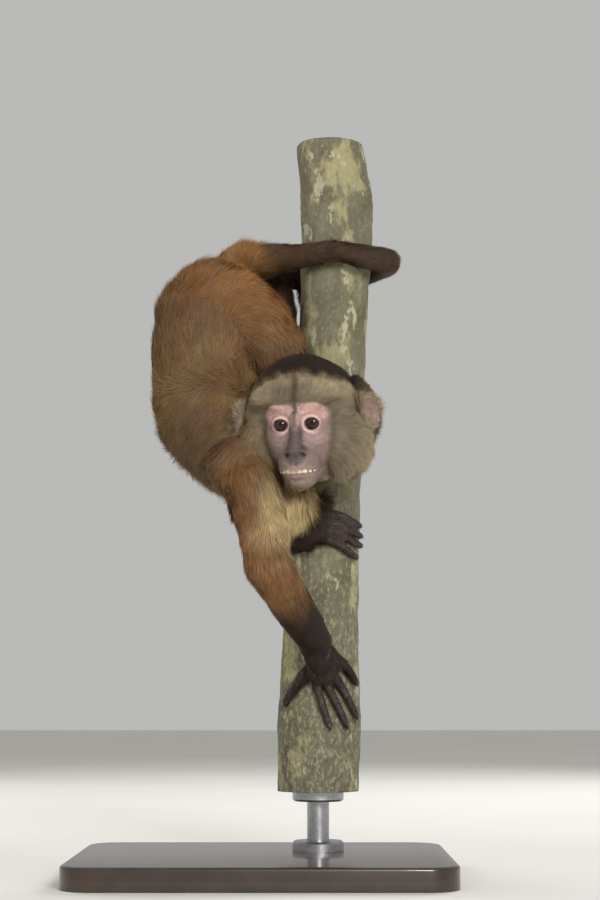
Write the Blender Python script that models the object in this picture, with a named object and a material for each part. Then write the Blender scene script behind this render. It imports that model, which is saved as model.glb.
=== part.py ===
"""White-fronted capuchin, life size, as a still museum model.

The animal hangs head-down beside a short cut length of tree trunk, its tail wound round the
trunk, and lifts its face to look out.  A steel rod on a flat base holds the trunk.

Metres, +Z up.  The origin is the centre of the underside of the base.  The animal faces -Y and
its back is turned to -X.  Every form below is the outer shape, out to the tips of the coat.
"""

import math

import bmesh
import bpy
from mathutils import Matrix, Vector

MM = 0.001
GAP = 0.3 * MM  # between pieces that touch
MOST_SWELL = 2.0  # how many gaps a sharp edge of a cutter may move out
GAP_TRIALS = (1.0, 1.15, 1.3, 1.5, 1.8)  # gaps tried in turn, in case a cut leaves an open edge

# ----------------------------------------------------------------------------------- stand
BASE_WIDTH = 300 * MM
BASE_DEPTH = 230 * MM
BASE_THICK = 18 * MM
BASE_CORNER = 26 * MM
ROD_RADIUS = 9 * MM
ROD_SIDES = 14
COLLAR_RADIUS = 21 * MM
COLLAR_HEIGHT = 8 * MM
COLLAR_CHAMFER = 2 * MM
BASE_EDGE = 2.5 * MM
WELD = 0.01 * MM

# ----------------------------------------------------------------------------------- perch
PERCH_Y = 30 * MM
PERCH_SIDES = 16
# height, axis x and radius of the trunk, in mm, from the lower cut to the upper one
PERCH_RINGS = (
    (60, 44.7, 33.3),
    (92, 45.4, 34.2),
    (125, 46.0, 34.6),
    (181, 47.0, 32.0),
    (222, 48.4, 30.6),
    (275, 50.5, 29.8),
    (348, 53.6, 28.8),
    (434, 57.2, 29.0),
    (480, 59.3, 29.4),
    (510, 60.6, 30.3),
    (539, 61.7, 31.0),
    (562, 61.2, 31.6),
    (581, 59.5, 30.2),
    (618, 54.6, 28.6),
)
PERCH_FOOT = 66 * MM
PERCH_TOP = 612 * MM

# ------------------------------------------------------------------------------------ head
EYES = Vector((26.6, -97.5, 350.0)) * MM  # midway between the eyes
HEAD_YAW = math.radians(-10.0)
HEAD_PITCH = math.radians(14.0)
HEAD_ROLL = math.radians(-2.0)
EYE_SPACING = 24.6  # mm, from pupil to pupil
EYE_RADIUS = 7.6  # mm
EYE_DEPTH = 7.4  # mm, from the plane of the face to the eye's centre
SOCKET = ((EYE_SPACING / 2, -4.4, 0), (9.0, 6.6, 7.6), (0, 0, 0))  # the opening between the lids
MOUTH = ((0, -10.5, -34.6), (11.5, 9.0, 2.3))
TEETH = ((0, -5.4, -34.3), (11.0, 9.0, 2.8))

# colours, linear, and roughness of each finish
FINISHES = {
    "rust_fur": ((0.22, 0.075, 0.025), 0.85),
    "cream_fur": ((0.48, 0.36, 0.22), 0.85),
    "dark_fur": ((0.045, 0.025, 0.02), 0.85),
    "dark_skin": ((0.07, 0.045, 0.05), 0.55),
    "eye": ((0.03, 0.012, 0.006), 0.08),
    "enamel": ((0.75, 0.68, 0.52), 0.25),
    "bark": ((0.16, 0.15, 0.10), 0.9),
    "steel": ((0.35, 0.35, 0.36), 0.35),
    "lacquered_wood": ((0.05, 0.035, 0.025), 0.4),
}


SETTLED = []  # the pieces in their final shape, the firmest first


def clear_scene():
    for old in list(bpy.data.objects):
        bpy.data.objects.remove(old, do_unlink=True)


def finish(name):
    """The material of that name, made on its first use."""
    if name in bpy.data.materials:
        return bpy.data.materials[name]
    colour, roughness = FINISHES[name]
    made = bpy.data.materials.new(name)
    made.use_nodes = True
    shader = made.node_tree.nodes["Principled BSDF"]
    shader.inputs["Base Color"].default_value = (*colour, 1.0)
    shader.inputs["Roughness"].default_value = roughness
    shader.inputs["Metallic"].default_value = 1.0 if name == "steel" else 0.0
    return made


def new_object(name, bm, finish_name):
    """An object made of the bmesh, which is freed."""
    mesh = bpy.data.meshes.new(name)
    bmesh.ops.recalc_face_normals(bm, faces=bm.faces)
    bm.to_mesh(mesh)
    bm.free()
    made = bpy.data.objects.new(name, mesh)
    bpy.context.scene.collection.objects.link(made)
    made.data.materials.append(finish(finish_name))
    mesh.shade_smooth()
    mesh.set_sharp_from_angle(angle=math.radians(50))
    return made


# --------------------------------------------------------------------------- simple solids
def curve_through(stations, steps):
    """Points on a smooth curve through the stations, each a tuple of any length."""
    rows = [Vector(s) for s in stations]
    rows = [rows[0] * 2 - rows[1], *rows, rows[-1] * 2 - rows[-2]]
    found = []
    for a, b, c, d in zip(rows, rows[1:], rows[2:], rows[3:]):
        bend, twist = 2 * a - 5 * b + 4 * c - d, 3 * b - a - 3 * c + d
        for step in range(steps):
            t = step / steps
            found.append(0.5 * (2 * b + (c - a) * t + bend * t**2 + twist * t**3))
    found.append(rows[-2])
    return found


def add_sweep(bm, stations, across=(0, 1, 0), sides=16, steps=3):
    """A closed tube through stations (x, y, z, radius across, radius along the other way), in mm."""
    rings = curve_through(stations, steps)
    spots = [Vector(r[:3]) for r in rings]
    loops = []
    for i, ring in enumerate(rings):
        ahead = (spots[min(i + 1, len(rings) - 1)] - spots[max(i - 1, 0)]).normalized()
        other = ahead.cross(Vector(across)).normalized()
        side = other.cross(ahead)
        frame = Matrix((side, other, ahead)).transposed().to_4x4()
        radii = Matrix.Diagonal((ring[3] * MM, ring[4] * MM, 1, 1))
        place = Matrix.Translation(spots[i] * MM) @ frame @ radii
        made = bmesh.ops.create_circle(bm, segments=sides, radius=1.0, matrix=place)["verts"]
        loops.append({e for v in made for e in v.link_edges})
    for low, high in zip(loops, loops[1:]):
        bmesh.ops.bridge_loops(bm, edges=list(low | high))
    for end in (loops[0], loops[-1]):
        bmesh.ops.contextual_create(bm, geom=list(end))


def add_ball(bm, centre, radii, turn=(0, 0, 0), detail=3, place=Matrix.Identity(4)):
    """An ellipsoid; centre and radii in mm, turn in degrees about X, Y and Z."""
    rx, ry, rz = (Matrix.Rotation(math.radians(a), 4, axis) for a, axis in zip(turn, "XYZ"))
    scale = Matrix.Diagonal((*(Vector(radii) * MM), 1))
    matrix = place @ Matrix.Translation(Vector(centre) * MM) @ rz @ ry @ rx @ scale
    bmesh.ops.create_icosphere(bm, subdivisions=detail, radius=1.0, matrix=matrix)


def add_limb(bm, stations, sides=14, steps=4, across=(0.3, 1, 0.2)):
    """A tapering round limb with rounded ends, through stations (x, y, z, radius) in mm."""
    add_sweep(bm, [(*s[:3], s[3], s[3]) for s in stations], across, sides, steps)
    for end in (stations[0], stations[-1]):
        add_ball(bm, end[:3], (end[3],) * 3, detail=2)


# ------------------------------------------------------------------- fusing and trimming
def evaluated(thing):
    """Replaces the object's mesh with the one its modifiers give, and drops the modifiers."""
    graph = bpy.context.evaluated_depsgraph_get()
    mesh = bpy.data.meshes.new_from_object(thing.evaluated_get(graph), depsgraph=graph)
    thing.modifiers.clear()
    thing.data = mesh


def fuse(thing, voxel, smoothing, triangles):
    """Melts the overlapping forms of an object into one smooth closed skin of about that many triangles."""
    remesh = thing.modifiers.new("one_skin", "REMESH")
    remesh.mode = "VOXEL"
    remesh.voxel_size = voxel * MM
    smooth = thing.modifiers.new("soften", "SMOOTH")
    smooth.factor = 0.5
    smooth.iterations = smoothing
    evaluated(thing)
    thin = thing.modifiers.new("thin_out", "DECIMATE")
    thin.ratio = min(1.0, triangles / (2 * len(thing.data.polygons)))
    evaluated(thing)
    keep_largest(thing)


def keep_largest(thing):
    """Drops all but the largest loose piece of the mesh, and points its faces outwards."""
    bm = bmesh.new()
    bm.from_mesh(thing.data)
    left = set(bm.verts)
    islands = []
    while left:
        island, front = set(), [left.pop()]
        while front:
            vertex = front.pop()
            island.add(vertex)
            for edge in vertex.link_edges:
                other = edge.other_vert(vertex)
                if other in left:
                    left.discard(other)
                    front.append(other)
        islands.append(island)
    largest = max(islands, key=lambda verts: spread(verts))
    bmesh.ops.delete(bm, geom=[v for v in bm.verts if v not in largest], context="VERTS")
    bmesh.ops.triangulate(bm, faces=bm.faces)
    bmesh.ops.recalc_face_normals(bm, faces=bm.faces)
    bm.to_mesh(thing.data)
    bm.free()


def spread(verts):
    """The size of the box round some vertices, which tells the real piece from a sliver."""
    spots = [v.co for v in verts]
    return math.prod(max(s[i] for s in spots) - min(s[i] for s in spots) for i in range(3))


def swollen(thing, by=GAP):
    """A hidden cutter that stands proud of the object by the gap."""
    bm = bmesh.new()
    bm.from_mesh(thing.data)
    bm.normal_update()
    for vertex in bm.verts:
        vertex.co += vertex.normal * (by * min(vertex.calc_shell_factor(), MOST_SWELL))
    cutter = new_object("cutter_" + thing.name, bm, "bark")
    cutter.hide_render = True
    cutter.display_type = "WIRE"
    return cutter


def box_of(thing):
    """Lowest and highest corner of the object's mesh, which is already at its place."""
    spots = [v.co for v in thing.data.vertices]
    return [min(s[i] for s in spots) for i in range(3)], [max(s[i] for s in spots) for i in range(3)]


def near(one, other):
    """Whether the boxes of two objects meet."""
    (low, high), (start, end) = box_of(one), box_of(other)
    return all(low[i] < end[i] + GAP and start[i] < high[i] + GAP for i in range(3))


def trimmed(thing, neighbour, gap):
    """Cuts the object back to stand clear of a neighbour by the gap."""
    cutter = swollen(neighbour, gap)
    cut = thing.modifiers.new("trim", "BOOLEAN")
    cut.operation = "DIFFERENCE"
    cut.solver = "EXACT"
    cut.use_self = True
    cut.object = cutter
    evaluated(thing)
    bpy.data.objects.remove(cutter, do_unlink=True)
    keep_largest(thing)


def closed(thing):
    """Whether every edge of the mesh lies between exactly two faces."""
    bm = bmesh.new()
    bm.from_mesh(thing.data)
    whole = all(edge.is_manifold for edge in bm.edges)
    bm.free()
    return whole


def settle(thing):
    """Cuts the object back from all settled before it, with the least gap that leaves it closed."""
    for neighbour in filter(lambda placed: near(thing, placed), SETTLED):
        untrimmed = thing.data
        for widening in GAP_TRIALS:
            thing.data = untrimmed.copy()
            trimmed(thing, neighbour, GAP * widening)
            if closed(thing):
                break
    SETTLED.append(thing)
    return thing


def sliced(thing, point, normal):
    """Keeps the part of the object that lies behind a plane, and closes the cut."""
    bm = bmesh.new()
    bm.from_mesh(thing.data)
    found = bmesh.ops.bisect_plane(
        bm,
        geom=[*bm.verts, *bm.edges, *bm.faces],
        dist=1e-7,
        plane_co=point,
        plane_no=normal,
        clear_outer=True,
    )
    rim = [e for e in found["geom_cut"] if isinstance(e, bmesh.types.BMEdge)]
    bmesh.ops.contextual_create(bm, geom=rim)
    bmesh.ops.triangulate(bm, faces=bm.faces)
    bmesh.ops.recalc_face_normals(bm, faces=bm.faces)
    bm.to_mesh(thing.data)
    bm.free()


def parted(thing, name, point, normal):
    """Cuts the object in two at a plane, with the gap between, and returns the part ahead of it."""
    point, normal = Vector(point) * MM, Vector(normal).normalized()
    ahead = thing.copy()
    ahead.data = thing.data.copy()
    ahead.name = name
    bpy.context.scene.collection.objects.link(ahead)
    sliced(thing, point - normal * (GAP / 2), normal)
    sliced(ahead, point + normal * (GAP / 2), -normal)
    keep_largest(thing)
    keep_largest(ahead)
    return ahead


# ------------------------------------------------------------------------- perch and stand
def perch_at(z):
    """Axis x and radius of the trunk at a height, all in mm."""
    for low, high in zip(PERCH_RINGS, PERCH_RINGS[1:]):
        if z <= high[0]:
            t = (z - low[0]) / (high[0] - low[0])
            return low[1] + t * (high[1] - low[1]), low[2] + t * (high[2] - low[2])
    return PERCH_RINGS[-1][1:]


def on_bark(x, z, lift):
    """A point in mm in front of the trunk, so far off its bark, at a given x and height."""
    axis, radius = perch_at(z)
    reach = radius + lift
    away = max(-0.98, min(0.98, (x - axis) / reach))
    return axis + away * reach, PERCH_Y / MM - reach * math.sqrt(1 - away**2), z


def round_bark(degrees, z, lift):
    """A point in mm round the trunk: 0 is its right side (+X), 90 its back and 270 its front."""
    axis, radius = perch_at(z)
    turn = math.radians(degrees)
    return axis + (radius + lift) * math.cos(turn), PERCH_Y / MM + (radius + lift) * math.sin(turn), z


def make_perch():
    bm = bmesh.new()
    stations = [(x, PERCH_Y / MM, z, radius, radius) for z, x, radius in PERCH_RINGS]
    add_sweep(bm, stations, across=(1, 0, 0), sides=PERCH_SIDES, steps=1)
    perch = new_object("perch_trunk", bm, "bark")
    sliced(perch, Vector((0, 0, PERCH_FOOT)), Vector((0, 0, -1)))
    sliced(perch, Vector((0, 0, PERCH_TOP)), Vector((0, 0, 1)))
    settle(perch)


def make_stand():
    """The base, and the rod turned in one piece with the collars at its foot and head."""
    bm = bmesh.new()
    bmesh.ops.create_cube(bm, size=1.0, matrix=Matrix.Diagonal((BASE_WIDTH, BASE_DEPTH, BASE_THICK, 1)))
    bmesh.ops.translate(bm, verts=bm.verts, vec=(0, 0, BASE_THICK / 2))
    upright = [e for e in bm.edges if abs(e.verts[0].co.z - e.verts[1].co.z) > BASE_THICK / 2]
    rounding = {"profile": 0.5, "affect": "EDGES", "material": -1}
    bmesh.ops.bevel(bm, geom=upright, offset=BASE_CORNER, segments=5, **rounding)
    rim = [e for e in bm.edges if all(v.co.z > BASE_THICK * 0.9 for v in e.verts)]
    bmesh.ops.bevel(bm, geom=rim, offset=BASE_EDGE, segments=2, **rounding)
    settle(new_object("stand_base", bm, "lacquered_wood"))

    axis_x, _ = perch_at(PERCH_FOOT / MM)
    low, top = BASE_THICK + GAP, PERCH_FOOT - GAP
    outline = (
        (0, low),
        (COLLAR_RADIUS, low),
        (COLLAR_RADIUS, low + COLLAR_HEIGHT - COLLAR_CHAMFER),
        (COLLAR_RADIUS - COLLAR_CHAMFER, low + COLLAR_HEIGHT),
        (ROD_RADIUS, low + COLLAR_HEIGHT),
        (ROD_RADIUS, top - COLLAR_HEIGHT),
        (COLLAR_RADIUS - COLLAR_CHAMFER, top - COLLAR_HEIGHT),
        (COLLAR_RADIUS, top - COLLAR_HEIGHT + COLLAR_CHAMFER),
        (COLLAR_RADIUS, top),
        (0, top),
    )
    bm = bmesh.new()
    corners = [bm.verts.new((axis_x * MM + r, PERCH_Y, z)) for r, z in outline]
    sides = [bm.edges.new((a, b)) for a, b in zip(corners, corners[1:])]
    bmesh.ops.spin(
        bm,
        geom=[*corners, *sides],
        cent=(axis_x * MM, PERCH_Y, 0),
        axis=(0, 0, 1),
        angle=2 * math.pi,
        steps=ROD_SIDES,
        use_merge=True,
    )
    bmesh.ops.remove_doubles(bm, verts=bm.verts, dist=WELD)
    settle(new_object("stand_rod", bm, "steel"))


# ------------------------------------------------------------------------------- the torso
BACK = (-0.9, -0.43, 0)  # the way the spine faces
# x, y, z, half depth from back to belly, half width from side to side
TORSO = (
    (-33, 12, 499, 13, 15),
    (-34, 11, 492, 30, 32),
    (-38, 9, 478, 43, 42),
    (-42, 5, 456, 53, 47),
    (-44, 0, 430, 55, 48),
    (-46, -5, 402, 55, 47),
    (-41, -14, 370, 52, 46),
    (-26, -26, 345, 42, 43),
    (-8, -36, 328, 36, 40),
    (6, -42, 312, 30, 34),
    (8, -43, 276, 12, 16),
)
CHEST_CUT = ((-40, -26, 350), (0.28, -0.20, -0.94))
RUMP_CUT = ((-43, 3, 446), (0.05, -0.12, -0.99))


def make_torso():
    """The trunk of the body in one, with the soft front of the breast and the flat of each shoulder."""
    bm = bmesh.new()
    add_sweep(bm, TORSO, across=BACK, sides=20, steps=2)
    add_ball(bm, (16, -46, 298), (29, 27, 30))
    add_ball(bm, (-16, -62, 326), (32, 24, 32), turn=(0, 20, 0))
    add_ball(bm, (-14, -6, 332), (30, 24, 30), turn=(0, 20, 0))
    torso = new_object("rump", bm, "rust_fur")
    fuse(torso, voxel=4.0, smoothing=6, triangles=640)
    return settle(torso)


def divide_torso(torso):
    """Cuts the finished trunk of the body into rump, belly and chest."""
    belly = parted(torso, "belly", *RUMP_CUT)
    parted(belly, "chest", *CHEST_CUT)


# -------------------------------------------------------------------------------- the head
HEAD = (
    Matrix.Translation(EYES)
    @ Matrix.Rotation(HEAD_YAW, 4, "Z")
    @ Matrix.Rotation(HEAD_PITCH, 4, "X")
    @ Matrix.Rotation(HEAD_ROLL, 4, "Y")
)
# name: (centre, radii, turn about X, Y, Z) in the head's own frame, in mm, where the middle of the
# eye line is the origin, -Y is ahead and X is the animal's left
HEAD_FORMS = {
    "skull": ((0, 42, 13), (45, 46, 43), (0, 0, 0)),
    "brow": ((0, 10, 21), (31, 14, 17), (-12, 0, 0)),
    "face": ((0, 17, -9), (27, 20, 33), (0, 0, 0)),
    "muzzle": ((0, 3, -30), (16.5, 19, 14.5), (-6, 0, 0)),
    "upper_lip": ((0, -2, -31), (13, 15, 8), (0, 0, 0)),
    "chin": ((0, 5, -42), (13.5, 15, 9.5), (8, 0, 0)),
    "throat": ((0, 32, -32), (30, 28, 24), (20, 0, 0)),
    "nape": ((0, 66, 6), (38, 26, 36), (0, 0, 0)),
}
CHEEK = ((31, 38, -16), (28, 27, 34), (0, 10, 0))  # centre, radii and turn; mirrored, as the rest are
RUFF = ((38, 53, 2), (23, 23, 34), (0, 0, 0))
BRIDGE = ((0, -1.5, 6, 4.0), (0, -5, -4, 4.1), (0, -9.8, -13, 4.8), (0, -12.8, -19.5, 5.5))
NOSTRIL_WING = ((6.3, -10.8, -21.6), (4.2, 5.0, 3.5), (0, 0, 24))
EAR = ((53.0, 33, 3.5), (4.2, 10, 14), (8, -8, -32))


def mirrored(form, side):
    """A paired form of the head, for the animal's left (1) or right (-1)."""
    (x, y, z), radii, (rx, ry, rz) = form
    return (side * x, y, z), radii, (rx, side * ry, side * rz)


def make_head():
    bm = bmesh.new()
    for centre, radii, turn in HEAD_FORMS.values():
        add_ball(bm, centre, radii, turn, detail=4, place=HEAD)
    for side in (-1, 1):
        add_ball(bm, *mirrored(CHEEK, side), detail=4, place=HEAD)
        add_ball(bm, *mirrored(RUFF, side), detail=4, place=HEAD)
        add_ball(bm, *mirrored(NOSTRIL_WING, side), detail=3, place=HEAD)
    nose = bmesh.new()
    add_limb(nose, BRIDGE, sides=12)
    bmesh.ops.transform(nose, matrix=HEAD, verts=nose.verts)
    join_into(bm, nose)
    head = new_object("head", bm, "cream_fur")
    fuse(head, voxel=1.8, smoothing=4, triangles=980)

    for side, name in ((-1, "eye_right"), (1, "eye_left")):
        hollow = bmesh.new()
        add_ball(hollow, *mirrored(SOCKET, side), detail=2, place=HEAD)
        carve(head, new_object("socket", hollow, "dark_skin"))
        bm = bmesh.new()
        add_ball(bm, (side * EYE_SPACING / 2, EYE_DEPTH, 0), (EYE_RADIUS,) * 3, detail=2, place=HEAD)
        settle(new_object(name, bm, "eye"))
    slot = bmesh.new()
    add_ball(slot, *MOUTH, detail=2, place=HEAD)
    carve(head, new_object("mouth", slot, "dark_skin"))
    bm = bmesh.new()
    add_ball(bm, *TEETH, detail=2, place=HEAD)
    settle(new_object("teeth_upper", bm, "enamel"))
    settle(head)
    for side, name in ((-1, "ear_right"), (1, "ear_left")):
        bm = bmesh.new()
        add_ball(bm, *mirrored(EAR, side), detail=2, place=HEAD)
        settle(new_object(name, bm, "dark_skin"))


def carve(thing, hollow):
    """Cuts a hollow out of the object, and removes the shape that stood for it."""
    cut = thing.modifiers.new("hollow", "BOOLEAN")
    cut.operation = "DIFFERENCE"
    cut.solver = "EXACT"
    cut.object = hollow
    evaluated(thing)
    bpy.data.objects.remove(hollow, do_unlink=True)


def join_into(bm, other):
    """Adds one bmesh to another."""
    carrier = bpy.data.meshes.new("carrier")
    other.to_mesh(carrier)
    other.free()
    bm.from_mesh(carrier)
    bpy.data.meshes.remove(carrier)


# ------------------------------------------------------------------------------- the limbs
DARK_LIMBS = ("shank_right", "thigh_right")
# stations of each length: x, y, z, radius
NECK = ((-16, -34, 330, 36), (6, -44, 340, 38), (26, -48, 354, 38))
LIMBS = {
    "thigh_left": ((-42, -8, 462, 37), (-15, -12, 451, 36.5), (7, -18, 430, 30)),
    "shank_left": ((5, -12, 424, 25), (0, 22, 414, 20), (-3, 54, 406, 15)),
    "thigh_right": ((-44, 32, 474, 36), (-18, 72, 450, 33), (3, 104, 428, 26)),
    "shank_right": ((3, 102, 436, 22), (8, 81, 471, 19.5), (9, 65, 497, 15)),
    "upper_arm_left": ((-11, -66, 314, 27), (-1, -80, 282, 24.5), (4, -93, 251, 22)),
    "forearm_left": ((5, -90, 246, 20.5), (20, -66, 219, 18), (33, -43, 200, 16), (42, -24, 187, 13.5)),
    "upper_arm_right": ((-16, -4, 330, 27), (-14, 34, 322, 22.5), (-12, 68, 313, 19)),
    "forearm_right": ((-11, 64, 309, 17.5), (0, 38, 295, 16), (14, 12, 278, 14.5), (25, -1, 269.5, 12)),
}
# where the hand or foot begins: a point of the joint, and the way the limb points there
JOINTS = {
    "forearm_left": ((40, -26, 188), (0.42, 0.53, -0.73)),
    "forearm_right": ((24, 0, 269), (0.78, -0.60, 0.15)),
    "shank_left": ((-3, 54, 406), (0.45, 0.85, 0.0)),
    "shank_right": ((8, 68, 493), (0.08, -0.55, 0.83)),
}


def make_limb(name):
    """One length of a leg or arm, cut square where its foot or hand begins."""
    bm = bmesh.new()
    add_limb(bm, LIMBS[name])
    limb = new_object(name, bm, "dark_fur" if name in DARK_LIMBS else "rust_fur")
    fuse(limb, voxel=3.2, smoothing=3, triangles=132)
    if name in JOINTS:
        point, normal = (Vector(given) for given in JOINTS[name])
        sliced(limb, point * MM - normal.normalized() * (GAP / 2), normal)
    settle(limb)


def make_extremity(name, palm, digits, joint):
    """A hand or foot: flattened balls for its body, a limb for each digit, cut square at the joint."""
    bm = bmesh.new()
    for form in palm:
        add_ball(bm, *form, detail=3)
    for digit in digits:
        add_limb(bm, digit, sides=10, steps=4)
    made = new_object(name, bm, "dark_skin")
    fuse(made, voxel=1.3, smoothing=2, triangles=310)
    point, normal = (Vector(given) for given in joint)
    sliced(made, point * MM + normal.normalized() * (GAP / 2), -normal)
    settle(made)


def laid(route, thick, lift, drop):
    """A digit on the front of the trunk, coming closer to the bark at each joint."""
    return [(*on_bark(x, z, lift - drop * i), thick[i]) for i, (x, z) in enumerate(route)]


def make_hand_left():
    """Laid flat on the front of the trunk, fingers down, thumb out to the animal's right."""
    lift = 3.6
    palm = (
        ((45, -16.5, 177), (13, 9.5, 14), (-20, -18, 0)),
        ((48, -12.5, 166), (14.5, 7.5, 12), (-10, -14, 0)),
        ((41.5, -20, 185), (12.5, 10.5, 11), (0, 0, 0)),
    )
    routes = (
        ((40, 170), (33, 160), (26.5, 152.5), (18, 138)),
        ((43, 163), (43.5, 151), (48, 136.5), (53.5, 119.5)),
        ((49, 165), (51.5, 154), (58.5, 138.5), (67.5, 120)),
        ((54, 167), (59.5, 156), (67.5, 143.5), (75.5, 127)),
        ((57, 175), (63, 170.5), (70, 162.5), (75.5, 153.5)),
    )
    thick = (4.2, 3.9, 3.5, 3.1)
    digits = [laid(route, thick, lift + 1.5, 0.5) for route in routes]
    make_extremity("hand_left", palm, digits, JOINTS["forearm_left"])


def make_hand_right():
    """Gripping the front of the trunk from the left, thumb up, fingertips curling over its right side."""
    lift = 3.4
    palm = (
        ((32, -5.5, 270), (10, 9, 11), (0, -10, 0)),
        ((41, -6.5, 277), (11, 7, 13), (0, -10, 0)),
    )
    routes = (
        ((40, 283), (44, 290), (46, 297), (48, 303.5)),
        ((47.5, 290), (57, 290), (66, 288), (78.5, 282.5)),
        ((47, 283.5), (57, 283), (66, 280.5), (79.3, 274)),
        ((46, 277), (56, 276), (66, 272.5), (79.3, 266)),
        ((44, 270), (54, 268.5), (64, 264.5), (75.5, 256)),
    )
    thick = (4.2, 3.9, 3.6, 3.2)
    digits = [laid(route, thick, lift + 1.4, 0.4) for route in routes]
    make_extremity("hand_right", palm, digits, JOINTS["forearm_right"])


def foot_digits(spots, first, last, lift):
    """A digit round the trunk between two bearings in degrees, at its heights."""
    thick = (4.6, 4.4, 4.0, 3.4)
    digits = []
    for low, high in spots:
        route = []
        for i, radius in enumerate(thick):
            t = i / (len(thick) - 1)
            bearing, height = first + (last - first) * t, low + (high - low) * t
            route.append((*round_bark(bearing, height, lift), radius))
        digits.append(route)
    return digits


def make_foot_left():
    """Sole against the left and back of the trunk, toes round the back, great toe round the front."""
    palm = (
        ((4, 52, 405), (12, 14, 12), (0, 0, -28)),
        ((17, 58, 405), (15, 10, 15), (0, 0, 28)),
        ((27, 62, 405), (12, 8, 15), (0, 0, 28)),
    )
    digits = foot_digits(((412, 418), (406, 409), (400, 400), (394, 391)), 128, 48, 4.2)
    digits += foot_digits(((404, 402),), 168, 236, 4.6)
    make_extremity("foot_left", palm, digits, JOINTS["shank_left"])


def make_foot_right():
    """Sole against the left and back of the trunk, beside the tail, toes round the back."""
    palm = (
        ((10, 56, 504), (13, 13, 11), (0, 0, -20)),
        ((21, 59, 506), (15, 10, 14), (0, 0, 28)),
        ((31, 63, 506), (12, 8, 14), (0, 0, 28)),
    )
    digits = foot_digits(((520, 527), (513, 517), (506.5, 507), (500, 498)), 132, 104, 4.2)
    digits += foot_digits(((493, 471),), 146, 130, 4.6)
    make_extremity("foot_right", palm, digits, JOINTS["shank_right"])


# -------------------------------------------------------------------------------- the tail
TAIL_STATIONS = (
    (-44, 16, 486, 16),
    (-26, 18, 502, 16),
    (-4, 12.5, 506.5, 15.5),
    (18, 2.5, 507, 14.2),
    (39, -7, 507.5, 12.6),
    (60.5, -12.1, 508.5, 11.6),
    (83, -6.5, 506, 12.5),
    (99.5, 9.8, 507, 13.5),
    (104.3, 33, 510, 13.5),
    (96.2, 55, 511, 13),
    (79.5, 69.5, 505, 12.5),
    (64, 76, 487, 12),
    (58, 81, 460, 11.5),
    (57, 83, 430, 11),
    (59, 82, 400, 9.5),
    (62, 80, 376, 7),
    (63, 79, 366, 3),
)
TAIL_LENGTHS = ("tail_root", "tail_front", "tail_side", "tail_back", "tail_tip")
TAIL_CUTS = (4, 7, 10, 13)  # stations at which one length ends and the next begins


def make_tail():
    """The tail in five lengths, wound once round the trunk, its tip hanging behind."""
    marks = (0, *TAIL_CUTS, len(TAIL_STATIONS) - 1)
    steps = 2
    rows = curve_through(TAIL_STATIONS, steps)
    for name, start, end in zip(TAIL_LENGTHS, marks, marks[1:]):
        run = [(*r[:4], r[3]) for r in rows[start * steps : end * steps + 1]]
        bm = bmesh.new()
        add_sweep(bm, run, across=(0.1, 0.2, 1), sides=10, steps=1)
        length = new_object(name, bm, "dark_fur")
        for at, facing in ((start, -1), (end, 1)):
            if 0 < at < len(TAIL_STATIONS) - 1:
                spot = Vector(rows[at * steps][:3]) * MM
                ahead = Vector(rows[at * steps + 1][:3]) - Vector(rows[at * steps - 1][:3])
                normal = ahead.normalized() * facing
                sliced(length, spot - normal * (GAP / 2), normal)
        settle(length)


def make_neck():
    bm = bmesh.new()
    add_limb(bm, NECK)
    neck = new_object("neck", bm, "cream_fur")
    fuse(neck, voxel=3.2, smoothing=3, triangles=150)
    settle(neck)


def build():
    clear_scene()
    make_perch()
    make_stand()
    make_head()
    torso = make_torso()
    make_neck()
    make_tail()
    make_hand_left()
    make_hand_right()
    for name in LIMBS:
        make_limb(name)
    make_foot_left()
    make_foot_right()
    divide_torso(torso)


build()
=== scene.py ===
"""Looks of a life-size still model of a white-fronted capuchin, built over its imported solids.

One skin stands for all the flesh and lies inside the solids by the depth of the coat.  The coat is
solid blades in locks that follow the lie of the fur.  Forms are in millimetres, in the model's own
frame: +Z is up, the animal looks to -Y, and its back is turned to -X.
"""

from __future__ import annotations

import logging  # noqa: E402
import math  # noqa: E402
from collections.abc import Callable  # noqa: E402
from dataclasses import dataclass, field  # noqa: E402
from enum import Enum  # noqa: E402

import bmesh  # noqa: E402
import bpy  # noqa: E402
import numpy as np  # noqa: E402
from mathutils import Matrix, Vector  # noqa: E402
from mathutils.bvhtree import BVHTree  # noqa: E402
from mathutils.kdtree import KDTree  # noqa: E402

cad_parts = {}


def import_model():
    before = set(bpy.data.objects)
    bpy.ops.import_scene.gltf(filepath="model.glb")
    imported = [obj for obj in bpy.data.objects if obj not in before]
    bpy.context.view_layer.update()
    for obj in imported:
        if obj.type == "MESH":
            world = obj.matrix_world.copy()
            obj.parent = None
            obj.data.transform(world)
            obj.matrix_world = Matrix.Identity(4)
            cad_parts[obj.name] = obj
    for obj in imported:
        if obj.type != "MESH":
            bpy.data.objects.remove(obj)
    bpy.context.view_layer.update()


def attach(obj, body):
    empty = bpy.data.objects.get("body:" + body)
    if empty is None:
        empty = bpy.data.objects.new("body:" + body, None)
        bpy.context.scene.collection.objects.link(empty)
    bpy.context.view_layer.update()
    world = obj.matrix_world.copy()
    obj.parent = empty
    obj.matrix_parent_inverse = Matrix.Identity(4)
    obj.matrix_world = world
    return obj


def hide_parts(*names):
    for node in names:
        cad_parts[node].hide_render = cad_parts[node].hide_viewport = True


LOG = logging.getLogger("capuchin")
MM = 0.001
SEED = 20

Row = tuple[float, ...]
Stations = tuple[Row, ...] | list[Row]
Array = np.ndarray
Object = bpy.types.Object
Mesh = bpy.types.Mesh
BMesh = bmesh.types.BMesh
Socket = bpy.types.NodeSocket
Material = bpy.types.Material


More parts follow.
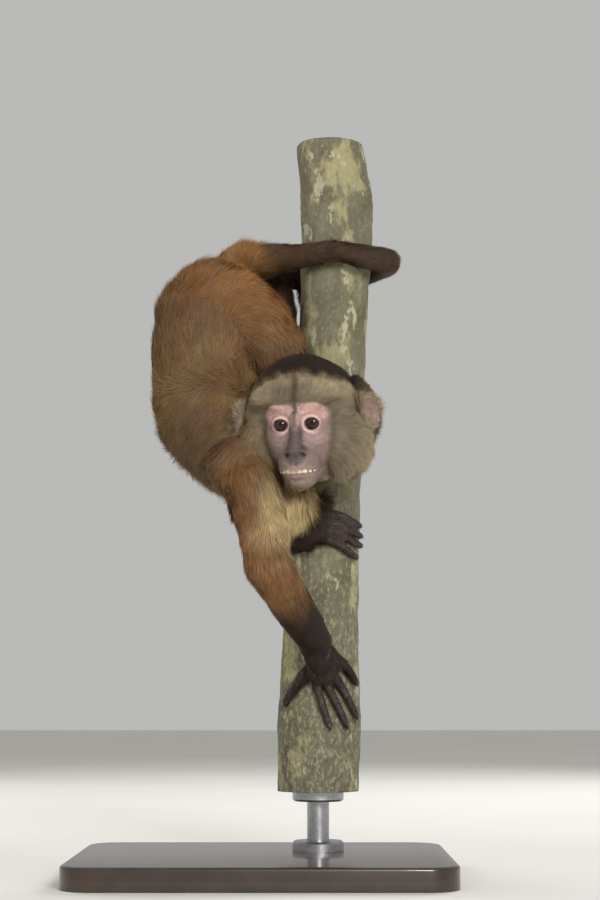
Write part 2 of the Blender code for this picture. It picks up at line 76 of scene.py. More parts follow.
# ----- small tools
def linear(code: str) -> tuple[float, float, float, float]:
    """The linear colour of an sRGB hex code such as "#6e4e34"."""
    shares = [int(code[i : i + 2], 16) / 255 for i in (1, 3, 5)]
    return (*(s / 12.92 if s <= 0.04045 else ((s + 0.055) / 1.055) ** 2.4 for s in shares), 1.0)


def ease(low: float, high: float, value: Array) -> Array:
    """0 at low, 1 at high, and a smooth rise between; low may be the larger."""
    t = np.clip((value - low) / (high - low), 0.0, 1.0)
    return t * t * (3 - 2 * t)


def unit(rows: Array) -> Array:
    """Each row at length 1."""
    return rows / np.maximum(np.linalg.norm(rows, axis=-1, keepdims=True), 1e-9)


def waves(points: Array, size: float, seed: int) -> Array:
    """Smooth noise from about -1 to 1 at points in mm.

    Args:
        points: rows of x, y, z in mm.
        size: the size of its patches in mm.
        seed: picks the pattern.

    Returns:
        One value for each point.
    """
    chance = np.random.default_rng(seed)
    total = np.zeros(len(points))
    for _ in range(9):
        way = unit(chance.normal(size=3)) * (chance.uniform(0.6, 1.5) * math.tau / size)
        total += np.sin(points @ way + chance.uniform(0, math.tau))
    return total / 3.2


def curve_through(stations: Stations, steps: int) -> list[Vector]:
    """Points on a smooth curve through stations.

    Args:
        stations: rows of any one length.
        steps: points from one station to the next.

    Returns:
        The points, with the last station.
    """
    rows = [Vector(s) for s in stations]
    rows = [rows[0] * 2 - rows[1], *rows, rows[-1] * 2 - rows[-2]]
    found = []
    for a, b, c, d in zip(rows, rows[1:], rows[2:], rows[3:]):
        bend, twist = 2 * a - 5 * b + 4 * c - d, 3 * b - a - 3 * c + d
        for step in range(steps):
            t = step / steps
            found.append(0.5 * (2 * b + (c - a) * t + bend * t**2 + twist * t**3))
    found.append(rows[-2])
    return found


def turned(degrees: Row) -> Matrix:
    """A turn about X, then Y, then Z."""
    rx, ry, rz = (Matrix.Rotation(math.radians(a), 4, axis) for a, axis in zip(degrees, "XYZ"))
    return rz @ ry @ rx


def add_ball(
    bm: BMesh,
    centre: Row,
    radii: Row,
    turn: Row = (0, 0, 0),
    detail: int = 4,
    place: Matrix = Matrix.Identity(4),
) -> None:
    """Adds an ellipsoid to the bmesh.

    Args:
        bm: what it is added to.
        centre: its middle, in mm.
        radii: its half sizes, in mm.
        turn: degrees about X, Y and Z.
        detail: subdivisions of its sphere.
        place: the frame that centre and turn are in.
    """
    scale = Matrix.Diagonal((*(Vector(radii) * MM), 1))
    matrix = place @ Matrix.Translation(Vector(centre) * MM) @ turned(turn) @ scale
    bmesh.ops.create_icosphere(bm, subdivisions=detail, radius=1.0, matrix=matrix)


def add_sweep(
    bm: BMesh,
    stations: Stations,
    across: Row = (0, 1, 0),
    sides: int = 24,
    steps: int = 4,
    place: Matrix = Matrix.Identity(4),
) -> None:
    """Adds a closed tube to the bmesh.

    Args:
        bm: what it is added to.
        stations: x, y, z, radius across and radius the other way, in mm.
        across: the direction of the first radius.
        sides: corners of its section.
        steps: rings from one station to the next.
        place: the frame the stations are in.
    """
    rings = curve_through(tuple(stations), steps)
    spots = [Vector(r[:3]) for r in rings]
    loops = []
    for i, ring in enumerate(rings):
        ahead = (spots[min(i + 1, len(rings) - 1)] - spots[max(i - 1, 0)]).normalized()
        other = ahead.cross(Vector(across)).normalized()
        frame = Matrix((other.cross(ahead), other, ahead)).transposed().to_4x4()
        radii = Matrix.Diagonal((ring[3] * MM, ring[4] * MM, 1, 1))
        matrix = place @ Matrix.Translation(spots[i] * MM) @ frame @ radii
        made = bmesh.ops.create_circle(bm, segments=sides, radius=1.0, matrix=matrix)["verts"]
        loops.append({e for v in made for e in v.link_edges})
    for low, high in zip(loops, loops[1:]):
        bmesh.ops.bridge_loops(bm, edges=list(low | high))
    for end in (loops[0], loops[-1]):
        bmesh.ops.contextual_create(bm, geom=list(end))


def add_limb(
    bm: BMesh,
    stations: Stations,
    sides: int = 20,
    steps: int = 4,
    across: Row = (0.3, 1, 0.2),
    place: Matrix = Matrix.Identity(4),
) -> None:
    """Adds a tapering round limb with rounded ends to the bmesh.

    Args:
        bm: what it is added to.
        stations: x, y, z and radius in mm.
        sides: corners of its section.
        steps: rings from one station to the next.
        across: a direction that one radius of each section keeps to.
        place: the frame the stations are in.
    """
    add_sweep(bm, [(*s[:3], s[3], s[3]) for s in stations], across, sides, steps, place)
    for end in (stations[0], stations[-1]):
        add_ball(bm, end[:3], (end[3],) * 3, detail=3, place=place)


def in_scene(name: str, data: bpy.types.ID) -> Object:
    """Puts a mesh, camera or lamp into the scene.

    Args:
        name: of its object.
        data: what the object shows.

    Returns:
        The object.
    """
    made = bpy.data.objects.new(name, data)
    bpy.context.scene.collection.objects.link(made)
    return made


def new_object(name: str, bm: BMesh) -> Object:
    """Puts a shape into the scene, at the origin.

    Args:
        name: of the object.
        bm: its shape, which is freed.

    Returns:
        The object.
    """
    mesh = bpy.data.meshes.new(name)
    bmesh.ops.recalc_face_normals(bm, faces=bm.faces)
    bm.to_mesh(mesh)
    bm.free()
    mesh.shade_smooth()
    return in_scene(name, mesh)


def bake_modifiers(thing: Object) -> None:
    """Gives an object the mesh that its modifiers make, and drops them.

    Args:
        thing: the object.
    """
    graph = bpy.context.evaluated_depsgraph_get()
    mesh = bpy.data.meshes.new_from_object(thing.evaluated_get(graph), depsgraph=graph)
    thing.modifiers.clear()
    thing.data = mesh


def melt(thing: Object, voxel: float, smoothing: int) -> None:
    """Melts an object's overlapping forms into one smooth closed surface.

    Args:
        thing: the object.
        voxel: the size of its new faces, in mm.
        smoothing: how many passes soften it.
    """
    remesh = thing.modifiers.new("melt", "REMESH")
    remesh.mode = "VOXEL"
    remesh.voxel_size = voxel * MM
    soften = thing.modifiers.new("soften", "SMOOTH")
    soften.factor = 0.5
    soften.iterations = smoothing
    bake_modifiers(thing)


def unite(whole: Object, part: Object) -> None:
    """Joins a closed part into a closed whole, and removes the part.

    Args:
        whole: the object that is kept.
        part: the object that is joined to it.
    """
    join = whole.modifiers.new("unite", "BOOLEAN")
    join.operation = "UNION"
    join.solver = "MANIFOLD"
    join.object = part
    bake_modifiers(whole)
    bpy.data.objects.remove(part, do_unlink=True)


def dress(piece: Object, finish: object) -> Object:
    """Gives a piece the one material that a finish makes.

    Args:
        piece: what is dressed.
        finish: what makes the material.

    Returns:
        The piece.
    """
    piece.data.materials.clear()
    piece.data.materials.append(finish.make())
    return piece


def vectors(data: bpy.types.bpy_prop_collection, key: str) -> Array:
    """The vectors that a mesh holds for its vertices.

    Args:
        data: its vertices or their normals.
        key: what they call the vector.

    Returns:
        A row for each vertex.
    """
    flat = np.empty(len(data) * 3, np.float32)
    data.foreach_get(key, flat)
    return flat.reshape(-1, 3).astype(float)


def places(mesh: Mesh) -> Array:
    """The mesh's vertices, as rows in mm."""
    return vectors(mesh.vertices, "co") / MM


def move_to(mesh: Mesh, points: Array) -> None:
    """Puts the mesh's vertices at rows in mm."""
    mesh.vertices.foreach_set("co", (points * MM).astype(np.float32).ravel())
    mesh.update()


def store(mesh: Mesh, name: str, rows: Array) -> None:
    """Stores a colour of four shares, or a vector of three, at each vertex.

    Args:
        mesh: where it is stored.
        name: of the attribute.
        rows: one for each vertex.
    """
    four = rows.shape[1] == 4
    kind, key = ("FLOAT_COLOR", "color") if four else ("FLOAT_VECTOR", "vector")
    made = mesh.attributes.new(name, kind, "POINT")
    made.data.foreach_set(key, rows.astype(np.float32).ravel())


# ----- the anatomy
HEAD_AT = Vector((26.6, -97.5, 350.0))  # midway between the eyes, in mm
HEAD = (
    Matrix.Translation(HEAD_AT * MM)
    @ Matrix.Rotation(math.radians(-10.0), 4, "Z")
    @ Matrix.Rotation(math.radians(14.0), 4, "X")
    @ Matrix.Rotation(math.radians(-2.0), 4, "Y")
)
ROUNDED = {"profile": 0.5, "affect": "EDGES", "material": -1}  # how every bevel is made
EYE_X = 12.3  # mm from the middle of the face to each pupil
EYE_RADIUS = 7.6  # mm
EYE_DEPTH = 7.4  # mm that the eyeballs' middles lie behind the head's origin
BACK = (-0.9, -0.43, 0)  # the way the spine faces
PERCH_Y = 30.0
# height, axis x and radius of the trunk, in mm
PERCH_RINGS = (
    (60, 44.7, 33.3), (92, 45.4, 34.2), (125, 46.0, 34.6), (181, 47.0, 32.0), (222, 48.4, 30.6),
    (275, 50.5, 29.8), (348, 53.6, 28.8), (434, 57.2, 29.0), (480, 59.3, 29.4), (510, 60.6, 30.3),
    (539, 61.7, 31.0), (562, 61.2, 31.6), (581, 59.5, 30.2), (618, 54.6, 28.6),
)  # fmt: skip
PERCH_FOOT, PERCH_TOP = 66.0, 612.0


def perch_at(z: float | Array) -> tuple[float | Array, float | Array]:
    """Axis x and radius of the trunk at a height or at many, all in mm."""
    table = np.array(PERCH_RINGS, float)
    return np.interp(z, table[:, 0], table[:, 1]), np.interp(z, table[:, 0], table[:, 2])


def on_bark(x: float, z: float, lift: float) -> Row:
    """A point in front of the trunk.

    Args:
        x: its place across, in mm.
        z: its height, in mm.
        lift: how far it is off the bark, in mm.

    Returns:
        Its x, y and z in mm.
    """
    axis, radius = perch_at(z)
    reach = radius + lift
    away = max(-0.98, min(0.98, (x - axis) / reach))
    return axis + away * reach, PERCH_Y - reach * math.sqrt(1 - away**2), z


def round_bark(degrees: float, z: float, lift: float) -> Row:
    """A point round the trunk.

    Args:
        degrees: its bearing: 0 is the side at +X, 90 the back and 270 the front.
        z: its height, in mm.
        lift: how far it is off the bark, in mm.

    Returns:
        Its x, y and z in mm.
    """
    axis, radius = perch_at(z)
    turn = math.radians(degrees)
    return axis + (radius + lift) * math.cos(turn), PERCH_Y + (radius + lift) * math.sin(turn), z


def in_head(points: Array) -> Array:
    """World points in mm, in the head's own frame: -Y ahead and X to the animal's left."""
    back = np.array(HEAD.inverted())
    return points @ back[:3, :3].T + back[:3, 3] / MM


def from_head(points: Array) -> Array:
    """Points of the head's own frame in mm, in the world."""
    out = np.array(HEAD)
    return points @ out[:3, :3].T + out[:3, 3] / MM


# middle, radii and turn of the left ear in the head's frame, in mm and degrees
EAR = ((53.0, 33, 3.5), (4.2, 10, 14), (8, -8, -32))
EAR_CLAIM = 40.0  # mm by which the head counts as nearer at an ear, which is far from its line


def on_ear(head: Array) -> Array:
    """Finds what lies at the skin of an ear.

    Args:
        head: rows in the head's frame.

    Returns:
        For each from 0, off it, to 1, at it.
    """
    middle, radii, (_, _, bearing) = EAR
    off = np.column_stack([np.abs(head[:, 0]), head[:, 1:]]) - middle
    c, s = math.cos(math.radians(bearing)), math.sin(math.radians(bearing))
    local = np.column_stack([off[:, 0] * c + off[:, 1] * s, off[:, 1] * c - off[:, 0] * s, off[:, 2]])
    return ease(1.25, 1.0, np.linalg.norm(local / (np.array(radii) + 1.5), axis=1))


class Part(Enum):
    """The parts of the body, each with a share of the coat's map: left, bottom, width, height."""

    HEAD = (0.0, 0.52, 0.48, 0.48)
    TORSO = (0.0, 0.0, 0.50, 0.50)
    NECK = (0.50, 0.80, 0.16, 0.20)
    TAIL = (0.52, 0.0, 0.12, 0.78)
    THIGH_LEFT = (0.66, 0.76, 0.17, 0.24)
    THIGH_RIGHT = (0.83, 0.76, 0.17, 0.24)
    SHANK_LEFT = (0.66, 0.52, 0.17, 0.22)
    SHANK_RIGHT = (0.83, 0.52, 0.17, 0.22)
    UPPER_ARM_LEFT = (0.66, 0.30, 0.17, 0.21)
    UPPER_ARM_RIGHT = (0.83, 0.30, 0.17, 0.21)
    FOREARM_LEFT = (0.66, 0.14, 0.17, 0.15)
    FOREARM_RIGHT = (0.83, 0.14, 0.17, 0.15)
    HAND_LEFT = (0.66, 0.0, 0.08, 0.13)
    HAND_RIGHT = (0.75, 0.0, 0.08, 0.13)
    FOOT_LEFT = (0.84, 0.0, 0.08, 0.13)
    FOOT_RIGHT = (0.92, 0.0, 0.08, 0.13)


# x, y, z, half depth and half width of the outer form of the trunk of the body, from rump to chest
TORSO = (
    (-34, 11, 492, 30, 32), (-38, 9, 478, 43, 42), (-42, 5, 456, 53, 47), (-44, 0, 430, 55, 48),
    (-46, -5, 402, 55, 47), (-41, -14, 370, 52, 46), (-26, -26, 345, 42, 43), (-8, -36, 328, 36, 40),
    (6, -42, 312, 30, 34),
)  # fmt: skip
BREAST = (
    ((16, -46, 298), (29, 27, 30), (0, 0, 0)),
    ((-16, -62, 326), (32, 24, 32), (0, 20, 0)),
    ((-14, -6, 332), (30, 24, 30), (0, 20, 0)),
)
NECK = ((-16, -34, 330, 36), (6, -44, 340, 38), (26, -48, 354, 38))
TAIL = (
    (-44, 16, 486, 16), (-26, 18, 502, 16), (-4, 12.5, 506.5, 15.5), (18, 2.5, 507, 14.2),
    (39, -7, 507.5, 12.6), (60.5, -12.1, 508.5, 11.6), (83, -6.5, 506, 12.5), (99.5, 9.8, 507, 13.5),
    (104.3, 33, 510, 13.5), (96.2, 55, 511, 13), (79.5, 69.5, 505, 12.5), (64, 76, 487, 12),
    (58, 81, 460, 11.5), (57, 83, 430, 11), (59, 82, 400, 9.5), (62, 80, 376, 7), (63, 79, 366, 3),
)  # fmt: skip
LIMBS = {
    Part.THIGH_LEFT: ((-42, -8, 462, 37), (-15, -12, 451, 36.5), (7, -18, 430, 30)),
    Part.SHANK_LEFT: ((5, -12, 424, 25), (0, 22, 414, 20), (-3, 54, 406, 15)),
    Part.THIGH_RIGHT: ((-44, 32, 474, 36), (-18, 72, 450, 33), (3, 104, 428, 26)),
    Part.SHANK_RIGHT: ((3, 102, 436, 22), (8, 81, 471, 19.5), (9, 65, 497, 15)),
    Part.UPPER_ARM_LEFT: ((-11, -66, 314, 27), (-1, -80, 282, 24.5), (4, -93, 251, 22)),
    Part.FOREARM_LEFT: ((5, -90, 246, 20.5), (20, -66, 219, 18), (33, -43, 200, 16), (42, -24, 187, 13.5)),
    Part.UPPER_ARM_RIGHT: ((-16, -4, 330, 27), (-14, 34, 322, 22.5), (-12, 68, 313, 19)),
    Part.FOREARM_RIGHT: ((-11, 64, 309, 17.5), (0, 38, 295, 16), (14, 12, 278, 14.5), (25, -1, 269.5, 12)),
}
# the lines that the fur of a hand or foot follows
EXTREMITIES = {
    Part.HAND_LEFT: ((41, -21, 188, 13), (48, -13, 166, 13), (64, -7, 124, 9)),
    Part.HAND_RIGHT: ((24, -1, 270, 11), (44, -7, 276, 12), (74, 6, 272, 8)),
    Part.FOOT_LEFT: ((0, 54, 405, 13), (30, 64, 405, 14), (72, 60, 404, 9)),
    Part.FOOT_RIGHT: ((9, 63, 500, 12), (24, 60, 505, 14), (52, 64, 506, 9)),
}
MAP_GAP = 0.006  # between the parts on the coat's map
WRISTS = (Part.FOREARM_LEFT, Part.FOREARM_RIGHT, Part.SHANK_LEFT, Part.SHANK_RIGHT)
HEAD_LINE = ((0, 20, -8, 42), (0, 58, 2, 42))  # in the head's frame


@dataclass(frozen=True)
class Pelt:
    """The fur of one part of the body.

    Attributes:
        depth: how far the skin lies inside the outline, in mm.
        length: of a hair lock, in mm.
        width: of a blade at its root, in mm.
        lift: degrees that it rises at its root.
        density: blades on a square millimetre of skin.
    """

    depth: float
    length: float
    width: float
    lift: float
    density: float


PELTS = {
    Part.HEAD: Pelt(6.0, 11.0, 0.39, 34.0, 3.84),
    Part.TORSO: Pelt(10.5, 24.0, 0.48, 29.0, 2.72),
    Part.NECK: Pelt(11.0, 13.0, 0.45, 20.0, 2.5),
    Part.TAIL: Pelt(4.4, 12.5, 0.43, 26.0, 2.4),
    Part.THIGH_LEFT: Pelt(8.5, 19.0, 0.48, 31.0, 2.4),
    Part.THIGH_RIGHT: Pelt(8.5, 19.0, 0.51, 31.0, 1.92),
    Part.SHANK_LEFT: Pelt(5.5, 14.0, 0.47, 28.0, 1.92),
    Part.SHANK_RIGHT: Pelt(5.0, 13.0, 0.47, 28.0, 1.92),
    Part.UPPER_ARM_LEFT: Pelt(7.5, 17.0, 0.47, 30.0, 2.72),
    Part.UPPER_ARM_RIGHT: Pelt(7.5, 17.0, 0.51, 32.0, 1.92),
    Part.FOREARM_LEFT: Pelt(4.4, 12.0, 0.39, 25.0, 3.36),
    Part.FOREARM_RIGHT: Pelt(4.2, 12.0, 0.43, 26.0, 2.4),
    Part.HAND_LEFT: Pelt(0.5, 3.6, 0.23, 16.0, 1.92),
    Part.HAND_RIGHT: Pelt(0.5, 3.6, 0.23, 16.0, 1.92),
    Part.FOOT_LEFT: Pelt(0.5, 3.6, 0.23, 16.0, 1.6),
    Part.FOOT_RIGHT: Pelt(0.5, 3.6, 0.23, 16.0, 1.6),
}


def thinner(stations: Stations, depth: float, taper: float = 0.0) -> list[Row]:
    """The stations with each radius less by the coat's depth, but never under half of it.

    Args:
        stations: places and radii in mm.
        depth: of the coat, in mm.
        taper: the share of the depth that is lost by the last station.

    Returns:
        The stations of the skin.
    """
    rows = []
    for i, station in enumerate(stations):
        less = depth * (1 - taper * i / (len(stations) - 1))
        rows.append((*station[:3], *(max(r - less, r * 0.5) for r in station[3:])))
    return rows


@dataclass
class Lines:
    """Each part's line through the body, to ask for the nearest part, place and direction.

    Attributes:
        parts: the parts, in the order of the answers.
        rows: for each part its line's points and radii, in mm.
    """

    parts: list[Part] = field(default_factory=list)
    rows: list[Array] = field(default_factory=list)

    def __post_init__(self) -> None:
        """Gathers the lines of all parts, each from the body outwards."""
        head = from_head(np.array([r[:3] for r in HEAD_LINE], float))
        head = np.column_stack([head, [r[3] for r in HEAD_LINE]])
        torso = [(*s[:3], (s[3] + s[4]) / 2) for s in reversed(TORSO)]
        given = {Part.HEAD: head, Part.TORSO: torso, Part.NECK: tuple(reversed(NECK)), Part.TAIL: TAIL}
        for part, stations in (given | LIMBS | EXTREMITIES).items():
            self.parts.append(part)
            self.rows.append(np.array([tuple(p) for p in curve_through(tuple(map(tuple, stations)), 3)]))

    def ask(self, points: Array) -> tuple[Array, ...]:
        """Finds each point's place against every line.

        Args:
            points: rows in mm.

        Returns:
            For each part and point: distance from the line less its radius; the share of the
            way along it; the angle round it, as a share of a turn; and the line's direction.
        """
        found = []
        for rows in self.rows:
            steps = np.linalg.norm(np.diff(rows[:, :3], axis=0), axis=1)
            starts = np.concatenate([[0], np.cumsum(steps)])
            gap = np.full(len(points), np.inf)
            share, turn = np.zeros(len(points)), np.zeros(len(points))
            way = np.zeros((len(points), 3))
            for i, step in enumerate(steps):
                low, line = rows[i, :3], rows[i + 1, :3] - rows[i, :3]
                t = np.clip((points - low) @ line / step**2, 0, 1)
                out = points - low - t[:, None] * line
                off = np.linalg.norm(out, axis=1) - (rows[i, 3] + t * (rows[i + 1, 3] - rows[i, 3]))
                nearer = off < gap
                gap[nearer] = off[nearer]
                share[nearer] = ((starts[i] + t * step) / starts[-1])[nearer]
                side = unit(np.cross(line, (0.23, 0.41, 0.88)))
                other = unit(np.cross(line, side))
                turn[nearer] = (np.arctan2(out @ side, out @ other) / math.tau + 0.5)[nearer]
                way[nearer] = line / step
            found.append((gap, share, turn, way))
        found[self.parts.index(Part.HEAD)][0][:] -= EAR_CLAIM * on_ear(in_head(points))
        return tuple(map(np.array, zip(*found)))

    def near(self, gaps: Array, soft: float) -> dict[Part, Array]:
        """How much places belong to each part.

        Args:
            gaps: as ask gives them.
            soft: over how many mm one part passes into the next.

        Returns:
            For each part a share for each place; they add up to 1.
        """
        near = np.exp(-(gaps - gaps.min(0)) / soft)
        near /= near.sum(0)
        return dict(zip(self.parts, near))


# ----- the markings
MARK_SETS = ("marks_a", "marks_b")  # the stored colours that hold the markings


class Mark(Enum):
    """The places of the markings: which of the two stored colours, and which share of it."""

    CAP = (0, 0)
    CREAM = (0, 1)
    RUST = (0, 2)
    DARK = (0, 3)
    PINK = (1, 0)
    BARE = (1, 1)
    LIP = (1, 2)
    GOLD = (1, 3)


def face_edge(head: Array) -> Array:
    """Where points stand between the middle and the edge of the bare face.

    Args:
        head: rows in the head's frame.

    Returns:
        For each 0 in the middle, 1 at the edge and more beyond it.
    """
    x, _, z = head.T
    heights = (-52, -42, -32, -20, -6, 7, 13, 17, 20)
    half_widths = (9, 14.5, 21, 24.5, 27, 27, 23.5, 16, 8)
    high = np.where(z > 0, z / 17.0, -z / 53.0)
    return np.maximum(np.abs(x) / np.interp(z, heights, half_widths), high)


def bare_face(head: Array) -> Array:
    """How bare the face is at points in the head's frame, from 0 to 1."""
    ahead = ease(34, 20, head[:, 1])
    return ease(1.12, 0.86, face_edge(head)) * ahead


@dataclass(frozen=True)
class Site:
    """Some places on the body, with the strength of each marking there.

    Attributes:
        points: the places, in mm.
        head: the same in the head's frame.
        of: how much each place belongs to each part.
        along: the share of the way along each part's line.
        belly: how far the place is towards the belly's side, in mm.
        rough: uneven patches 26 mm across.
        fine: uneven patches 9 mm across.
    """

    points: Array
    head: Array
    of: dict[Part, Array]
    along: dict[Part, Array]
    belly: Array
    rough: Array
    fine: Array

    def ends(self) -> Array:
        """How much each place belongs to a hand or foot."""
        return sum(self.of[part] for part in EXTREMITIES)

    def cap(self) -> Array:
        """The dark cap and its stripe down the forehead.

        Returns:
            Its strength at each place.
        """
        x, y, z = self.head.T
        on_head, off = self.of[Part.HEAD], np.abs(x)
        line = z - 35.5 + 0.0088 * np.minimum(off, 42) ** 2 + 0.55 * np.maximum(y - 32, 0) + 1.2 * self.fine
        cap = on_head * ease(-4.0, 3.5, line) * (1 - 0.5 * ease(38, 48, off))
        stripe = ease(3.8, 0.6, off) * np.interp(z, (0, 6, 16, 24, 42), (0.4, 0.6, 0.5, 0.4, 0.6))
        return np.maximum(cap, on_head * stripe * (z > -3) * (y < 40))

    def chest(self) -> Array:
        """The pale breast, throat and inside of the left upper arm.

        Returns:
            Their strength at each place.
        """
        of, (x, y, z) = self.of, self.points.T
        middle, reach = np.array((36.0, -52.0, 276.0)), (33, 58, 44)
        front = ease(1.2, 0.65, np.linalg.norm((self.points - middle) / reach, axis=1))
        below = ease(360, 312, z) * ease(0, 26, self.belly + 4 * self.rough) * of[Part.TORSO]
        fringe = ease(345, 305, z) * of[Part.TORSO] * 0.7
        inner = of[Part.UPPER_ARM_LEFT] * ease(-16, 10, x) * ease(235, 285, z) * 0.75
        throat = of[Part.NECK] * ease(-20, -60, y) * ease(340, 312, z)
        return np.maximum.reduce([front, below * 0.8, fringe, inner, throat]) * (1 - of[Part.HEAD])

    def rust(self) -> Array:
        """The rust on rump, arms and the root of the tail.

        Returns:
            Its strength at each place.
        """
        of, along = self.of, self.along
        rump = (of[Part.TORSO] + of[Part.THIGH_LEFT]) * ease(418, 486, self.points[:, 2] + 6 * self.rough)
        forearm = of[Part.FOREARM_LEFT] * ease(0.62, 0.2, along[Part.FOREARM_LEFT])
        elbow = of[Part.UPPER_ARM_LEFT] * (0.35 + 0.65 * ease(0.35, 0.95, along[Part.UPPER_ARM_LEFT]))
        forearm_right = of[Part.FOREARM_RIGHT] * ease(0.6, 0.1, along[Part.FOREARM_RIGHT])
        rust = np.maximum.reduce([rump, forearm * 0.75, elbow * 0.7, forearm_right * 0.6])
        return np.clip(rust + of[Part.TAIL] * 0.5 * ease(0.16, 0.02, along[Part.TAIL]), 0, 1)

    def dark(self) -> Array:
        """The dark of wrists, hands, feet, tail and spine, darker fur by the nape that is partly painted
        shade, and painted shade round the face's edge.

        Returns:
            Its strength at each place.
        """
        of, along = self.of, self.along
        _, y, z = self.head.T
        on_head, torso = of[Part.HEAD], of[Part.TORSO]
        dark_wrists = (Part.FOREARM_LEFT, Part.FOREARM_RIGHT, Part.SHANK_LEFT)
        wrists = sum(of[part] * ease(0.08, 0.62, along[part]) for part in dark_wrists)
        legs = of[Part.SHANK_RIGHT] * 0.55 + of[Part.THIGH_RIGHT] * 0.6
        legs = legs + on_head * ease(40, 52, y) * 0.5
        deepening = np.interp(along[Part.TAIL], (0.02, 0.12, 0.3, 0.7, 1), (0.25, 0.6, 0.8, 0.9, 0.8))
        tail = of[Part.TAIL] * deepening
        spine = torso * ease(34, 60, -self.belly) * 0.3
        # darker fur on the shoulders next to the head, partly painted shade between head and shoulders
        nape = (torso + of[Part.UPPER_ARM_RIGHT]) * ease(395, 350, self.points[:, 2])
        nape = nape * ease(4, 26, -self.belly)
        edge = face_edge(self.head)
        # painted shade: a dark band where the bare face meets its fur, along the brows and down both sides
        edge_shade = on_head * ease(0.85, 1.02, edge) * ease(1.8, 1.25, edge) * (y < 36) * (z > -40)
        stubble = 0.2 * on_head * bare_face(self.head)
        dark = wrists + self.ends() + legs + tail + spine + 0.3 * nape + 0.42 * edge_shade + stubble
        return np.clip(dark, 0, 1)

    def skin(self) -> tuple[Array, Array, Array]:
        """The colours of the bare skin.

        Returns:
            How pink, how bare and how dark as a lip it is at each place.
        """
        x, y, z = self.head.T
        off, on_head, ends = np.abs(x), self.of[Part.HEAD], self.ends()
        bare = on_head * bare_face(self.head)
        eye = np.hypot((off - EYE_X + 1) / 13.0, (z - 7.5) / 9.5)
        eye = np.minimum(eye, np.hypot(off - EYE_X, z) / 8.0)
        under = ease(1.2, 0.5, np.hypot((off - 14) / 11, (z + 11) / 6))
        # painted light: pale pink under the eyes, much stronger under the left eye (+x), the side the light
        # falls on, than under the shaded right eye
        under = np.where(x > 0, 0.26, 0.06) * under
        pink = bare * np.clip(ease(1.2, 0.75, eye) + under, 0, 1)
        nose = ease(1.25, 0.7, np.hypot(x / 8.7, (z + 21.6) / 8.5))
        lips = ease(1.2, 0.8, np.hypot(x / 15, (z + 35) / 5.0))
        bridge = ease(7.0, 3.5, off) * ease(-26, -18, z) * ease(1, -7, z)
        bridge = np.maximum(bridge, ease(2.4, 0.9, off) * ease(-6, 0, z) * 0.75)
        pink = pink * (1 - 0.28 * ease(10, 6, off))
        lower_lip = 0.25 * ease(2.4, 1.2, np.abs(z + 39.5)) * ease(15, 11, off)
        pink = np.maximum(pink * (1 - 0.85 * bridge) * (1 - nose), lips * 0.4 + lower_lip)
        lip = bare * np.maximum.reduce([nose, bridge * 0.95, lips * 0.15])
        ears = on_head * ease(46, 50, off) * ease(20, 14, np.abs(z - 3.5)) * (y < 52)
        bare = np.maximum.reduce([bare, ears, ease(0.35, 0.75, ends)])
        return np.maximum(pink, ears * 0.22), bare, np.maximum(lip, ease(0.04, 0.35, ends))


@dataclass
class Markings:
    """The markings of skin and coat, as functions of the place on the body."""

    lines: Lines

    def at(self, points: Array) -> tuple[Array, Array]:
        """The strength of every marking.

        Args:
            points: rows in mm.

        Returns:
            Two arrays of four shares a point, in the order that Mark gives.
        """
        gaps, shares, _, _ = self.lines.ask(points)
        belly = points @ -unit(np.array(BACK)) - 2.0
        of, along = self.lines.near(gaps, 5.0), dict(zip(self.lines.parts, shares))
        site = Site(points, in_head(points), of, along, belly, waves(points, 26, 3), waves(points, 9, 4))
        cap, chest = site.cap(), site.chest()
        x, y, z = site.head.T
        rim = ease(38, 54, y) + 0.5 * ease(38, 52, np.abs(x)) * ease(-4, 12, z)
        cream = np.maximum(of[Part.HEAD] * (1 - 0.8 * np.clip(rim, 0, 1)), chest)
        gold = np.clip(0.5 + 0.5 * site.rough, 0, 1) * of[Part.TORSO] * ease(470, 380, points[:, 2])
        gold = np.maximum(gold, ease(0.2, 0.6, chest))
        first = np.column_stack([cap, cream * (1 - cap), site.rust(), site.dark()])
        return np.clip(first, 0, 1), np.clip(np.column_stack([*site.skin(), gold]), 0, 1)


# ----- the finishes
BLEND = {"data_type": "RGBA"}  # what makes a Mix node blend two colours; its third output is the colour
TIMES = {"operation": "MULTIPLY"}
PLUS = {"operation": "ADD"}


def per(size: float) -> float:
    """The scale of a pattern whose patches, on Object coordinates, are of a size in mm."""
    return 1.0 / (size * MM)


class Graph:
    """A material's node tree, with one way to add a node to it."""

    def __init__(self, name: str) -> None:
        """Starts a material with its principled shader.

        Args:
            name: the substance.
        """
        self.material = bpy.data.materials.new(name)
        self.material.use_nodes = True
        self.tree = self.material.node_tree

    def join(self, node: bpy.types.Node, links: dict[str, object]) -> None:
        """Links or sets a node's inputs.

        Args:
            node: the node.
            links: for an input, by number after an underscore or by name, a socket or a value.
        """
        for key, value in links.items():
            socket = node.inputs[int(key[1:]) if key[1:].isdigit() else key.replace("_", " ")]
            if isinstance(value, Socket):
                self.tree.links.new(value, socket)
            else:
                socket.default_value = value

    def add(
        self, kind: str, settings: dict[str, object] | None = None, out: int | str = 0, **links: object
    ) -> Socket:
        """Adds a node.

        Args:
            kind: its type, without the ShaderNode in front.
            settings: its own properties.
            out: the output that is wanted, by number or name.
            links: what goes into it, as in join.

        Returns:
            The wanted output.
        """
        node = self.tree.nodes.new("ShaderNode" + kind)
        for key, value in (settings or {}).items():
            setattr(node, key, value)
        self.join(node, links)
        return node.outputs[out]

    def finish(self, **inputs: object) -> Material:
        """Links or sets the shader's inputs.

        Args:
            inputs: what goes into it, as in join.

        Returns:
            The material.
        """
        self.join(self.tree.nodes["Principled BSDF"], inputs)
        return self.material


